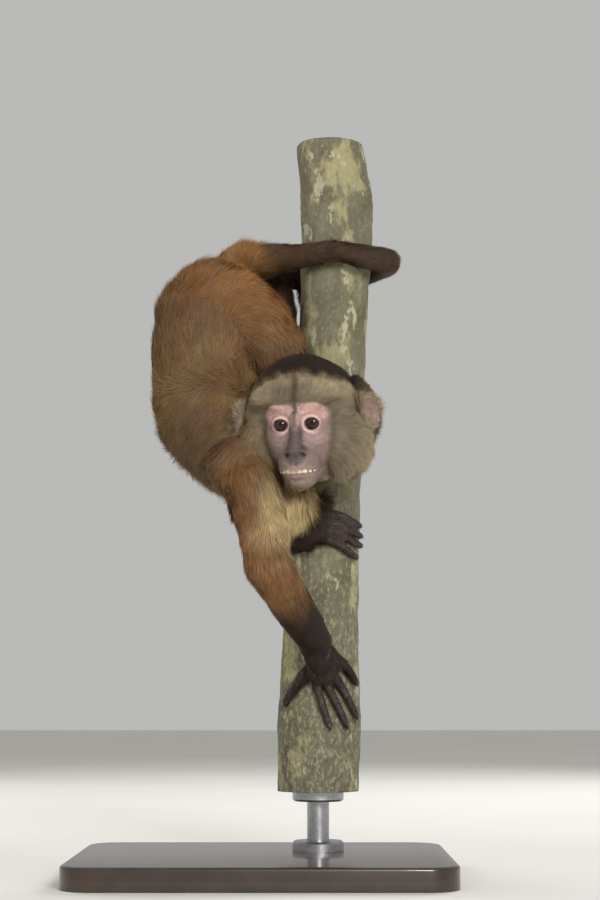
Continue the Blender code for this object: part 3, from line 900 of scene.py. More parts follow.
@dataclass(frozen=True)
class FurColours:
    """The colours of the coat by marking, as hex codes."""

    brown: str = "#7b5a3b"
    gold: str = "#8a6e44"
    rust: str = "#93683d"
    cream: str = "#92846a"
    chest: str = "#c2ae80"
    cap: str = "#1d1613"
    dark: str = "#352a24"
    pink: str = "#c49d92"
    bare: str = "#85706a"
    lip: str = "#4d4240"


@dataclass(frozen=True)
class CoatFinish:
    """Hair: each lock darker at its root, paler at its tip, a little unlike its neighbours.

    Attributes:
        colours: by marking.
        roughness: of the keratin.
        root_shade: how light a lock is at its root.
        tip_shade: how light it is at its tip.
        patch: the size of paler and darker patches of the coat, in mm.
        patch_shades: how light the darkest and the palest are.
    """

    colours: FurColours = FurColours()
    roughness: float = 0.62
    root_shade: float = 0.66
    tip_shade: float = 1.2
    patch: float = 14.0
    patch_shades: tuple[float, float] = (0.85, 1.12)

    def marks(self, graph: Graph) -> tuple[Socket, Socket, Socket]:
        """Colours by the markings, before the light and shade of single locks.

        Args:
            graph: of the material.

        Returns:
            The colour of the coat, the colour of bare skin, and how bare the skin is.
        """
        stored = [graph.add("Attribute", {"attribute_name": name}, "Color") for name in MARK_SETS]
        split = [graph.add("SeparateColor", None, Color=colours) for colours in stored]
        share = {}
        for mark in Mark:
            which, place = mark.value
            node = split[which].node if place < 3 else stored[which].node
            share[mark] = node.outputs[place if place < 3 else "Alpha"]
        hues = self.colours
        mixed = share[Mark.GOLD]
        coat = graph.add("Mix", BLEND, 2, _0=mixed, _6=linear(hues.brown), _7=linear(hues.gold))
        cream = graph.add("Mix", BLEND, 2, _0=mixed, _6=linear(hues.cream), _7=linear(hues.chest))
        for mark, hue in (
            (Mark.RUST, linear(hues.rust)), (Mark.CREAM, cream),
            (Mark.DARK, linear(hues.dark)), (Mark.CAP, linear(hues.cap)),
        ):  # fmt: skip
            coat = graph.add("Mix", BLEND, 2, _0=share[mark], _6=coat, _7=hue)
        bare = linear(hues.bare)
        for mark, hue in ((Mark.PINK, hues.pink), (Mark.LIP, hues.lip)):
            bare = graph.add("Mix", BLEND, 2, _0=share[mark], _6=bare, _7=linear(hue))
        return coat, bare, share[Mark.BARE]

    def make(self) -> Material:
        """Hair: fine keratin fibres, seen as a soft broad gloss along the lie of the coat.

        Returns:
            The material.
        """
        graph = Graph("capuchin_hair_keratin")
        colour, _, _ = self.marks(graph)
        lock = graph.add("Attribute", {"attribute_name": "lock"}, "Vector")
        along, own, warmth = graph.add("SeparateXYZ", None, Vector=lock).node.outputs
        along = graph.add("MapRange", None, Value=along, To_Min=self.root_shade, To_Max=self.tip_shade)
        shade = graph.add("Math", TIMES, _0=along, _1=own)
        where = graph.add("TexCoord", None, "Object")
        patch = graph.add("TexNoise", None, Vector=where, Scale=per(self.patch), Detail=4.0)
        low, high = self.patch_shades
        patch = graph.add("MapRange", None, Value=patch, From_Min=0.3, From_Max=0.7, To_Min=low, To_Max=high)
        shade = graph.add("Math", TIMES, _0=shade, _1=patch)
        warm = graph.add("HueSaturation", None, Color=colour, Saturation=warmth, Value=shade)
        return graph.finish(Base_Color=warm, Roughness=self.roughness, Specular_IOR_Level=0.2, IOR=1.55)


@dataclass(frozen=True)
class SkinFinish:
    """Bare skin on the face, ears, palms and soles, and the hide under the coat.

    Attributes:
        coat: whose colours the hide takes.
        hide_shade: how light the hide is against its coat.
        mottling: the colour of darker flecks in bare skin.
        lid: the colour of the eyelids' edges.
        lid_ring: how far from the eye's middle that colour ends and is full, in mm.
        cell: the size of the skin's finest creases, in mm; drawn coarser than life, to show.
    """

    coat: CoatFinish = CoatFinish()
    hide_shade: float = 0.5
    mottling: str = "#5f4d4b"
    lid: str = "#ccb4a9"
    lid_ring: tuple[float, float] = (8.0, 6.6)
    cell: float = 1.7

    def make(self) -> Material:
        """Monkey skin: matt, finely creased, dark on hands and feet.

        Returns:
            The material.
        """
        graph = Graph("monkey_skin")
        coat, bare, bareness = self.coat.marks(graph)
        hide = graph.add("HueSaturation", None, Color=coat, Value=self.hide_shade)
        where = graph.add("TexCoord", None, "Object")
        mottle = graph.add("TexNoise", None, Vector=where, Scale=per(2.6), Detail=4.0, Roughness=0.6)
        mottle = graph.add("MapRange", None, Value=mottle, From_Min=0.32, From_Max=0.68)
        mottle = graph.add("Math", TIMES, _0=mottle, _1=0.4)
        bare = graph.add("Mix", BLEND, 2, _0=mottle, _6=bare, _7=linear(self.mottling))
        colour = graph.add("Mix", BLEND, 2, _0=bareness, _6=hide, _7=bare)
        end, full = (far * MM for far in self.lid_ring)
        for side in (-1, 1):
            spot = HEAD @ (Vector((side * EYE_X, EYE_DEPTH - EYE_RADIUS - LID_GAP, 0.5)) * MM)
            far = graph.add("VectorMath", {"operation": "DISTANCE"}, "Value", _0=where, _1=tuple(spot))
            ring = graph.add("MapRange", None, Value=far, From_Min=end, From_Max=full)
            colour = graph.add("Mix", BLEND, 2, _0=ring, _6=colour, _7=linear(self.lid))
        edges = {"feature": "DISTANCE_TO_EDGE"}
        cells = graph.add("TexVoronoi", edges, "Distance", Vector=where, Scale=per(self.cell))
        creases = graph.add("MapRange", None, Value=cells, From_Min=0.0, From_Max=0.16)
        grain = graph.add("TexNoise", None, Vector=where, Scale=per(0.9), Detail=3.0, Roughness=0.6)
        height = graph.add("Math", PLUS, _0=graph.add("Math", TIMES, _0=creases, _1=0.5), _1=grain)
        bump = graph.add("Bump", None, Strength=0.35, Distance=0.35 * MM, Height=height)
        return graph.finish(Base_Color=colour, Roughness=0.5, Specular_IOR_Level=0.4, Normal=bump)


@dataclass(frozen=True)
class EyeFinish:
    """The eyeball: black pupil, brown iris with spokes, dark rim and dull white, all under clear gloss.

    Attributes:
        pupil, iris, iris_inner, rim, white: the colours.
        rings: for iris, pupil's edge, rim and white, where each begins and is full, as shares of the iris.
    """

    pupil: str = "#030202"
    iris: str = "#2c1a0f"
    iris_inner: str = "#482c18"
    rim: str = "#0c0604"
    white: str = "#75655a"
    rings: tuple[Row, ...] = ((0.32, 0.85), (0.36, 0.42), (0.86, 0.97), (1.04, 1.16))

    def make(self) -> Material:
        """Wet eyeball: a clear coat of tear film over a dark stained iris.

        Returns:
            The material.
        """
        graph = Graph("wet_eyeball")
        gaze = graph.add("Attribute", {"attribute_name": "gaze"}, "Vector")
        far = graph.add("SeparateXYZ", None, Vector=gaze)
        drawn = graph.add("Mapping", None, Vector=gaze, Scale=(0.12, 1.0, 1.0))
        spokes = graph.add("TexNoise", None, Vector=drawn, Scale=9.0, Detail=3.0)
        spokes = graph.add("MapRange", None, Value=spokes, From_Min=0.45, From_Max=0.75)
        iris, edge, rim, white = (
            graph.add("MapRange", None, Value=far, From_Min=low, From_Max=high) for low, high in self.rings
        )
        ground = graph.add("Mix", BLEND, 2, _0=iris, _6=linear(self.iris_inner), _7=linear(self.iris))
        ground = graph.add("Mix", BLEND, 2, _0=spokes, _6=ground, _7=linear(self.rim))
        colour = graph.add("Mix", BLEND, 2, _0=edge, _6=linear(self.pupil), _7=ground)
        for share, hue in ((rim, self.rim), (white, self.white)):
            colour = graph.add("Mix", BLEND, 2, _0=share, _6=colour, _7=linear(hue))
        return graph.finish(
            Base_Color=colour, Roughness=0.3, Specular_IOR_Level=0.12, Coat_Weight=0.45, Coat_Roughness=0.03
        )


@dataclass(frozen=True)
class PlainFinish:
    """A finish of one colour with fine mottling and grain.

    Attributes:
        name: the substance.
        colour: its hex code.
        second: the hex code of its mottling.
        size: of the mottling's patches, in mm.
        roughness: of the surface.
        bump: height of the grain, in mm.
        coat: weight of a clear layer.
        metallic: 1 for a metal.
    """

    name: str
    colour: str
    second: str
    size: float
    roughness: float
    bump: float = 0.0
    coat: float = 0.0
    metallic: float = 0.0

    def make(self) -> Material:
        """The substance, barely uneven in colour, with a grain a third as large if it has a bump.

        Returns:
            The material.
        """
        graph = Graph(self.name)
        where = graph.add("TexCoord", None, "Object")
        share = graph.add("TexNoise", None, Vector=where, Scale=per(self.size), Detail=4.0)
        share = graph.add("MapRange", None, Value=share, From_Min=0.35, From_Max=0.65)
        colour = graph.add("Mix", BLEND, 2, _0=share, _6=linear(self.colour), _7=linear(self.second))
        if self.bump:
            grain = graph.add("TexNoise", None, Vector=where, Scale=per(self.size / 3), Detail=4.0)
            bump = graph.add("Bump", None, Strength=0.6, Distance=self.bump * MM, Height=grain)
            graph.finish(Normal=bump)
        return graph.finish(
            Base_Color=colour, Roughness=self.roughness, Coat_Weight=self.coat, Metallic=self.metallic
        )


@dataclass(frozen=True)
class BarkFinish:
    """Smooth grey-olive bark with flat crusts of lichen, moss, pale flecks and fine cracks.

    Attributes:
        bark: its ground colour.
        pale: the colour of round flecks of lichen.
        wood: the colour of the sawn ends.
        wood_dark: the colour of their rings.
        patches: each with its colour, size in mm, detail, where it begins and is full in its
            noise, the part of the noise it takes, and its strength.
        specks: the same for fine specks, which are stronger towards the foot.
        crust: the same for the low relief of the lichen.
    """

    bark: str = "#77735d"
    pale: str = "#aca689"
    wood: str = "#b8935f"
    wood_dark: str = "#8a6a40"
    patches: tuple[tuple, ...] = (
        ("#625d4b", 26, 5, 0.38, 0.62, 0.1, 1.0),  # shade
        ("#97906c", 34, 8, 0.52, 0.57, 0.7, 1.0),  # lichen
        ("#aca689", 13, 8, 0.60, 0.64, 1.9, 1.0),  # pale lichen
        ("#69703f", 30, 6, 0.60, 0.70, 3.1, 0.8),  # moss
        ("#9a7468", 11, 5, 0.68, 0.73, 5.3, 0.7),  # rose flecks
    )
    specks: tuple[tuple, ...] = (
        ("#aca689", 2.6, 4, 0.5, 0.6, 7.7, 1.0),  # pale
        ("#454131", 3.4, 4, 0.5, 0.62, 9.9, 1.0),  # cracks
    )
    crust: tuple = ("", 34, 8, 0.50, 0.58, 0.7, 1.0)

    def make(self) -> Material:
        """Bark of a young forest tree: a thin dull skin, mottled in patches 3 to 40 mm across.

        Returns:
            The material.
        """
        graph = Graph("tree_bark")
        where = graph.add("TexCoord", None, "Object")
        tall = graph.add("Mapping", None, Vector=where, Scale=(1.0, 1.0, 0.55))
        shares = []
        for _, size, detail, low, high, shift, strength in (*self.patches, *self.specks, self.crust):
            moved = graph.add("Mapping", None, Vector=tall, Location=(shift, shift, shift))
            spots = graph.add("TexNoise", None, Vector=moved, Scale=per(size), Detail=detail, Roughness=0.62)
            shares.append(
                graph.add("MapRange", None, Value=spots, From_Min=low, From_Max=high, To_Max=strength)
            )
        colour = linear(self.bark)
        for (hue, *_), share in zip(self.patches, shares):
            colour = graph.add("Mix", BLEND, 2, _0=share, _6=colour, _7=linear(hue))
        flecks = graph.add("TexVoronoi", None, "Distance", Vector=tall, Scale=per(5.5))
        flecks = graph.add("MapRange", None, Value=flecks, From_Min=0.16, From_Max=0.08, To_Max=0.4)
        colour = graph.add("Mix", BLEND, 2, _0=flecks, _6=colour, _7=linear(self.pale))
        height = graph.add("SeparateXYZ", None, 2, Vector=where)
        rise = {"From_Min": 0.33, "From_Max": 0.18, "To_Min": 0.15, "To_Max": 0.45}
        low = graph.add("MapRange", None, Value=height, **rise)
        for (hue, *_), share in zip(self.specks, shares[len(self.patches) :]):
            share = graph.add("Math", TIMES, _0=share, _1=low)
            colour = graph.add("Mix", BLEND, 2, _0=share, _6=colour, _7=linear(hue))
        ends = graph.add("Attribute", {"attribute_name": "sawn"}, "Vector")
        sawn, far, _ = graph.add("SeparateXYZ", None, Vector=ends).node.outputs
        rings = graph.add("Math", {"operation": "SINE"}, _0=graph.add("Math", TIMES, _0=far, _1=2.6))
        rings = graph.add("MapRange", None, Value=rings, From_Min=-0.2, From_Max=1.0)
        wood = graph.add("Mix", BLEND, 2, _0=rings, _6=linear(self.wood), _7=linear(self.wood_dark))
        colour = graph.add("Mix", BLEND, 2, _0=sawn, _6=colour, _7=wood)
        grain = graph.add("TexNoise", None, Vector=where, Scale=per(1.6), Detail=4.0, Roughness=0.65)
        rough = graph.add("Math", PLUS, _0=shares[-1], _1=grain)
        bump = graph.add("Bump", None, Strength=0.7, Distance=0.7 * MM, Height=rough)
        return graph.finish(Base_Color=colour, Roughness=0.88, Specular_IOR_Level=0.25, Normal=bump)


# ----- the head
# name: centre, radii, turn and the depth of coat on it, in the head's frame, in mm
HEAD_FORMS = {
    "skull": ((0, 42, 13), (45, 46, 43), (0, 0, 0), 6.0),
    "brow": ((0, 10, 21), (31, 14, 17), (-12, 0, 0), 3.4),
    "face": ((0, 17, -9), (27, 20, 33), (0, 0, 0), 0.2),
    "muzzle": ((0, 3, -30), (16.5, 19, 14.5), (-6, 0, 0), 0.0),
    "upper_lip": ((0, -2, -31), (13, 15, 8), (0, 0, 0), 0.0),
    "chin": ((0, 5, -42), (13.5, 15, 9.5), (8, 0, 0), 0.6),
    "throat": ((0, 32, -32), (30, 28, 24), (20, 0, 0), 7.0),
    "nape": ((0, 66, 6), (38, 26, 36), (0, 0, 0), 9.0),
}
PAIRED_FORMS = {
    "cheek": ((30, 35, -16), (27, 26, 33), (0, 10, 0), 6.5),
    "ruff": ((38, 53, 2), (23, 23, 34), (0, 0, 0), 7.5),
    "nostril_wing": ((5.6, -10.8, -21.6), (3.9, 4.8, 3.4), (0, 0, 24), 0.0),
    "temple": ((28, 28, 3), (12, 11, 18), (0, 0, 0), 0.0),
    "jowl": ((27, 25, -22), (11, 12.5, 20), (0, 0, 0), 0.0),
}
BRIDGE = ((0, -1.5, 6, 4.0), (0, -5, -4, 4.1), (0, -9.8, -13, 4.8), (0, -12.8, -19.5, 5.5))


@dataclass(frozen=True)
class Dent:
    """A soft hollow or swelling of the face, seen from the front, in mm; it has a twin if paired.

    Attributes:
        x, z: its middle.
        wide, tall: its half sizes.
        out: how far it stands out, less than 0 for a hollow.
        turn: degrees that it leans.
        paired: whether the other side has one too.
    """

    x: float
    z: float
    wide: float
    tall: float
    out: float
    turn: float = 0.0
    paired: bool = True

    def rise(self, x: Array, z: Array) -> Array:
        """How far it lifts the face.

        Args:
            x: of each point in the head's frame.
            z: of each point.

        Returns:
            A height in mm for each.
        """
        across = (np.abs(x) if self.paired else x) - self.x
        c, s = math.cos(math.radians(self.turn)), math.sin(math.radians(self.turn))
        up = z - self.z
        far = ((across * c + up * s) / self.wide) ** 2 + ((up * c - across * s) / self.tall) ** 2
        return self.out * np.exp(-(far**1.3))


@dataclass(frozen=True)
class Crease:
    """A fold of the face along a bent line of x, z points, on both sides of the face."""

    line: tuple[tuple[float, float], ...]
    width: float
    out: float

    def rise(self, x: Array, z: Array) -> Array:
        """How far it lifts the face.

        Args:
            x: of each point in the head's frame.
            z: of each point.

        Returns:
            A height in mm for each.
        """
        spot = np.column_stack([np.abs(x), z])
        best = np.full(len(x), np.inf)
        for start, end in zip(np.array(self.line), np.array(self.line)[1:]):
            way = end - start
            t = np.clip((spot - start) @ way / (way @ way), 0, 1)
            best = np.minimum(best, np.linalg.norm(spot - start - t[:, None] * way, axis=1))
        return self.out * np.exp(-((best / self.width) ** 2))


def arc(radius: float, start: float, end: float, tall: float = 1.0) -> tuple[tuple[float, float], ...]:
    """Points on an arc round the eye, between two bearings in degrees."""
    turns = [math.radians(start + (end - start) * i / 8) for i in range(9)]
    return tuple((EYE_X + radius * math.cos(a), radius * tall * math.sin(a)) for a in turns)


FACE_DENTS = (
    Dent(EYE_X, -0.5, 10.5, 9.0, -2.4),  # the orbit
    Dent(EYE_X + 1, 11.5, 11.0, 3.6, 1.5, 8),  # the brow ridge
    Dent(0, 9.5, 2.0, 5.5, -0.7, 0, False),  # between the brows
    Dent(19, -13, 8, 6, 0.8, -20),  # the cheekbone
    Dent(11.0, -22, 3.6, 6.5, -0.9, 16),  # beside the nose
    Dent(6.4, -22.3, 2.2, 1.35, -4.6, -36),  # the nostril
    Dent(5.5, -19.0, 3.0, 1.7, 0.7, -12),  # over the nostril
    Dent(0, -22.5, 1.5, 3.2, -0.7, 0, False),  # down the septum
    Dent(0, -28.3, 1.6, 2.6, -0.5, 0, False),  # down the upper lip
    Dent(6, -29.5, 6.0, 2.2, 0.7, 8),  # the fullness of the upper lip
    Dent(0, -39.6, 9.0, 1.5, 0.8, 0, False),  # the lower lip
    Dent(0, -43.0, 8.0, 1.6, -0.6, 0, False),  # under it
    Dent(19.5, -30, 4.5, 6, -1.0, 12),  # the hollow of the cheek
)
FACE_CREASES = (
    Crease(arc(9.3, 20, 160, 0.86), 0.75, -0.75),  # the fold of the upper lid
    Crease(arc(9.6, 200, 340, 0.88), 0.75, -0.75),  # the fold of the lower lid
    Crease(arc(12.0, 205, 338, 0.86), 0.7, -0.55),
    Crease(arc(14.3, 215, 335, 0.86), 0.8, -0.5),
    Crease(arc(16.8, 228, 328, 0.86), 0.8, -0.4),
    Crease(((10.5, -19), (12.8, -25), (16.2, -31), (17.4, -36)), 1.0, -0.9),  # from nose to mouth
    Crease(((14, -22), (17.5, -28), (20, -35)), 0.9, -0.45),
    Crease(((11.5, -35.7), (14.2, -36.7), (16.6, -38.2)), 0.8, -1.3),  # the corner of the mouth
    Crease(((15, -41), (10, -45.5), (4, -47)), 0.9, -0.5),
    Crease(((3.0, 4), (3.8, 10), (3.2, 15)), 0.8, -0.4),
)
LID_GAP = 0.85  # mm from the eyeball to the outside of the lid
OPENING = (5.95, 5.0)  # half width and half height of the opening between the lids, in mm
MOUTH_OPENING = (12.2, 2.0)  # half width and half height, in mm


@dataclass
class Head:
    """The skin of the head, with lids, nostrils, lips and folds modelled in it."""

    voxel: float = 1.36
    front: float = 24.0  # y in the head's frame, behind which the mesh stays coarse

    def build(self) -> Object:
        """Makes the head and both ears.

        Returns:
            One closed surface.
        """
        bm = bmesh.new()
        for centre, radii, turn, depth in HEAD_FORMS.values():
            add_ball(bm, centre, tuple(r - depth for r in radii), turn, 5, HEAD)
        for centre, radii, turn, depth in PAIRED_FORMS.values():
            for side in (-1, 1):
                place = (side * centre[0], *centre[1:])
                lean = (turn[0], side * turn[1], side * turn[2])
                add_ball(bm, place, tuple(r - depth for r in radii), lean, 4, HEAD)
        add_limb(bm, BRIDGE, place=HEAD)
        head = new_object("head_skin", bm)
        melt(head, self.voxel, 5)
        self.refine(head, lambda x, y, z: y < self.front and abs(x) < 25 and -50 < z < 19)
        self.refine(head, self.is_detailed)
        self.model_face(head)
        for side in (-1, 1):
            unite(head, self.ear(side))
        return head

    @staticmethod
    def is_detailed(x: float, y: float, z: float) -> bool:
        """Whether a place is in an eyelid, the nose or the lips."""
        eye = math.hypot(abs(x) - EYE_X, z) < 10.5
        return y < 16 and (eye or (abs(x) < 10 and -28 < z < -16) or (abs(x) < 17 and -40 < z < -29))

    def refine(self, head: Object, chosen: Callable[[float, float, float], bool]) -> None:
        """Halves the size of some faces.

        Args:
            head: the head's object.
            chosen: tells by a face's place in the head's frame whether it is one.
        """
        bm = bmesh.new()
        bm.from_mesh(head.data)
        back = HEAD.inverted()
        wanted = set()
        for face in bm.faces:
            if chosen(*(back @ face.calc_center_median() / MM)):
                wanted.update(face.edges)
        bmesh.ops.subdivide_edges(bm, edges=list(wanted), cuts=1, use_grid_fill=True, smooth=0.0)
        bm.to_mesh(head.data)
        bm.free()

    def model_face(self, head: Object) -> None:
        """Moves the face's vertices forward and back to make its lids, nostrils, lips and folds.

        Args:
            head: the head's object.
        """
        spots = in_head(places(head.data))
        x, y, z = spots.T.copy()
        ahead = ease(30, 14, y)
        rise = sum(shape.rise(x, z) for shape in (*FACE_DENTS, *FACE_CREASES))
        rise = rise + 0.14 * waves(spots, 3.2, 8) * ease(1.2, 0.8, np.hypot(x / 26, (z + 16) / 34))
        y = y - rise * ahead

        across = np.abs(x) - EYE_X
        reach = across**2 + z**2
        lid_radius = EYE_RADIUS + LID_GAP
        lid = EYE_DEPTH - np.sqrt(np.maximum(lid_radius**2 - reach, 0.0))
        over = ease(8.5, 7.1, np.sqrt(reach)) * ahead
        y = y + (np.minimum(lid, y + 0.4) - y) * over
        inside = EYE_DEPTH - np.sqrt(np.maximum((EYE_RADIUS - 1.4) ** 2 - reach, 0.0))
        opening = np.hypot(across / OPENING[0], z / OPENING[1])
        y = y + (inside - y) * ease(1.08, 0.92, opening) * ahead

        middle = -34.4 - 0.009 * x**2
        above = 1.2 + 1.3 * ease(1.5, 7.5, np.abs(x))
        tall = np.where(z > middle, above, MOUTH_OPENING[1])
        gape = np.hypot(x / MOUTH_OPENING[0], (z - middle) / tall)
        lips = np.exp(-(((gape - 1.28) / 0.26) ** 2)) * (np.abs(x) < 14)
        y = y - 0.75 * lips * ahead
        y = y + 10.0 * ease(1.06, 0.86, gape) * ahead
        move_to(head.data, from_head(np.column_stack([x, y, z])))

    def ear(self, side: int) -> Object:
        """Makes a thin rounded ear with a rolled rim and a hollow.

        Args:
            side: 1 for the left ear, -1 for the right.

        Returns:
            The ear.
        """
        bm = bmesh.new()
        bmesh.ops.create_icosphere(bm, subdivisions=5, radius=1.0)
        (cx, cy, cz), radii, (rx, ry, rz) = EAR
        for vertex in bm.verts:
            far = math.hypot(vertex.co.y, vertex.co.z)
            if vertex.co.x * side > 0:
                hollow = 1.25 * max(0.0, 1 - (far / 0.78) ** 2) ** 0.5
                vertex.co.x -= side * min(hollow, 1.25)
                vertex.co.x += side * 0.25 * math.exp(-(((far - 0.86) / 0.1) ** 2))
        place = HEAD @ Matrix.Translation(Vector((side * cx, cy, cz)) * MM)
        matrix = place @ turned((rx, side * ry, side * rz))
        bmesh.ops.transform(bm, matrix=matrix @ Matrix.Diagonal((*(Vector(radii) * MM), 1)), verts=bm.verts)
        ear = new_object("ear", bm)
        melt(ear, 0.8, 3)
        return ear


# ----- hands, feet, skin
@dataclass(frozen=True)
class Grip:
    """A hand or foot.

    Attributes:
        palm: the balls of its palm.
        digits: each as stations of x, y, z and radius.
        wrist: the ball of the palm from which its rays run to the digits.
        stem: stations of x, y, z and radius that carry on the limb into the palm.
    """

    palm: tuple[tuple[Row, Row, Row], ...]
    digits: tuple[tuple[Row, ...], ...]
    wrist: int = 0
    stem: tuple[Row, ...] = ()

    def build(self, name: str, voxel: float) -> Object:
        """Makes its skin, with a swelling at each knuckle.

        Args:
            name: of the hand or foot.
            voxel: the size of its faces, in mm.

        Returns:
            Its skin.
        """
        bm = bmesh.new()
        for centre, radii, turn in self.palm:
            add_ball(bm, centre, tuple(r - 1.2 for r in radii), turn)
        if self.stem:
            add_limb(bm, self.stem)
        for digit in self.digits:
            add_limb(bm, [(*s[:3], s[3] - 0.55) for s in digit], sides=16)
            for joint in digit[1:-1]:
                add_ball(bm, joint[:3], (joint[3] - 0.1,) * 3, detail=3)
            wrist = Vector(self.palm[self.wrist][0]).lerp(Vector(digit[0][:3]), 0.25)
            add_limb(bm, ((*wrist, digit[0][3] + 0.6), (*digit[0][:3], digit[0][3] - 0.4)), sides=16)
        made = new_object(name, bm)
        melt(made, voxel, 5)
        return made


def laid(route: tuple[tuple[float, float], ...], thick: Row, lift: float, drop: float) -> tuple[Row, ...]:
    """A digit on the front of the trunk, from x and z of its joints, each closer to the bark by drop."""
    return tuple((*on_bark(x, z, lift - drop * i), thick[i]) for i, (x, z) in enumerate(route))


def wrapped(spots: tuple[tuple[float, float], ...], first: float, last: float, lift: float) -> tuple:
    """Lays digits round the trunk.

    Args:
        spots: the first and the last height of each, in mm.
        first: the bearing at which they begin, in degrees.
        last: the bearing of their tips.
        lift: how far they are off the bark, in mm.

    Returns:
        The digits, as stations of x, y, z and radius.
    """
    thick = (4.6, 4.4, 4.0, 3.4)
    digits = []
    for low, high in spots:
        route = []
        for i, radius in enumerate(thick):
            t = i / (len(thick) - 1)
            route.append((*round_bark(first + (last - first) * t, low + (high - low) * t, lift), radius))
        digits.append(tuple(route))
    return tuple(digits)


def grips() -> dict[Part, Grip]:
    """Gives the two hands and two feet their digits.

    Returns:
        A grip for each part.
    """
    thick = (4.2, 3.9, 3.5, 3.1)
    left_routes = (
        ((40, 170), (33, 160), (26.5, 152.5), (18, 138)),
        ((43, 163), (43.5, 151), (48, 136.5), (53.5, 119.5)),
        ((49, 165), (51.5, 154), (58.5, 138.5), (67.5, 120)),
        ((54, 167), (59.5, 156), (67.5, 143.5), (75.5, 127)),
        ((57, 175), (63, 170.5), (70, 162.5), (75.5, 153.5)),
    )
    right_routes = (
        ((40, 283), (44, 290), (46, 297), (48, 303.5)),
        ((47.5, 290), (57, 290), (66, 288), (78.5, 282.5)),
        ((47, 283.5), (57, 283), (66, 280.5), (79.3, 274)),
        ((46, 277), (56, 276), (66, 272.5), (79.3, 266)),
        ((44, 270), (54, 268.5), (64, 264.5), (75.5, 256)),
    )
    hand_left = Grip(
        (
            ((45, -16.5, 177), (13, 9.5, 14), (-20, -18, 0)),
            ((48, -11.2, 165), (14, 6.6, 13), (-10, -14, 0)),
            ((41.5, -20, 185), (12.5, 10.5, 11), (0, 0, 0)),
        ),
        tuple(laid(route, thick, 5.1, 0.5) for route in left_routes),
        2,
        ((36, -31, 196, 11.5), (41, -22.5, 184.5, 10.8), (45, -15.5, 172, 9.0), (48, -11, 162, 6.5)),
    )
    hand_right = Grip(
        (((32, -5.5, 270), (10, 9, 11), (0, -10, 0)), ((41, -6.5, 277), (11, 7, 13), (0, -10, 0))),
        tuple(laid(route, (4.2, 3.9, 3.6, 3.2), 4.8, 0.4) for route in right_routes),
        0,
        ((21, 3, 271.5, 10.5), (31, -5, 271, 9.5), (41, -7.5, 276, 7.0)),
    )
    toes_left = wrapped(((412, 418), (406, 409), (400, 400), (394, 391)), 128, 48, 4.2)
    foot_left = Grip(
        (
            ((4, 52, 405), (12, 14, 12), (0, 0, -28)),
            ((17, 58, 405), (15, 10, 15), (0, 0, 28)),
            ((27, 62, 405), (12, 8, 15), (0, 0, 28)),
        ),
        toes_left + wrapped(((404, 402),), 168, 236, 4.6),
        1,
    )
    toes_right = wrapped(((520, 527), (513, 517), (506.5, 507), (500, 498)), 132, 104, 4.2)
    foot_right = Grip(
        (
            ((10, 56, 504), (13, 13, 11), (0, 0, -20)),
            ((21, 59, 506), (15, 10, 14), (0, 0, 28)),
            ((31, 63, 506), (12, 8, 14), (0, 0, 28)),
        ),
        toes_right + wrapped(((493, 471),), 146, 130, 4.6),
        1,
    )
    return {
        Part.HAND_LEFT: hand_left,
        Part.HAND_RIGHT: hand_right,
        Part.FOOT_LEFT: foot_left,
        Part.FOOT_RIGHT: foot_right,
    }


@dataclass
class Skin:
    """The one skin of the whole animal."""

    markings: Markings
    body_voxel: float = 3.4
    digit_voxel: float = 1.3

    def body(self) -> Object:
        """Makes the trunk of the body, limbs and tail, each thinner than its outline by its coat.

        Returns:
            One closed surface.
        """
        bm = bmesh.new()
        depth = PELTS[Part.TORSO].depth
        add_sweep(bm, thinner(TORSO, depth), across=BACK, sides=40)
        for centre, radii, turn in BREAST:
            add_ball(bm, centre, tuple(r - depth for r in radii), turn)
        add_limb(bm, thinner(NECK, PELTS[Part.NECK].depth))
        for part, stations in LIMBS.items():
            add_limb(bm, thinner(stations, PELTS[part].depth, 0.7 if part in WRISTS else 0.0))
        add_limb(bm, thinner(TAIL, PELTS[Part.TAIL].depth), across=(0.1, 0.2, 1))
        body = new_object("capuchin_skin", bm)
        melt(body, self.body_voxel, 8)
        return body

    def build(self) -> Object:
        """Makes the skin, stores its markings and dresses it.

        Returns:
            The skin.
        """
        skin = self.body()
        unite(skin, Head().build())
        for part, grip in grips().items():
            unite(skin, grip.build(part.name.lower(), self.digit_voxel))
        skin.data.shade_smooth()
        for name, shares in zip(MARK_SETS, self.markings.at(places(skin.data))):
            store(skin.data, name, shares)
        return dress(skin, SkinFinish())


# ----- the coat
@dataclass
class Roots:
    """Where the blades of the coat grow: places and normals in mm, and each one's fur."""

    place: Array
    normal: Array
    way: Array
    length: Array
    width: Array
    lift: Array
    chart: Array
    first: Array
    second: Array


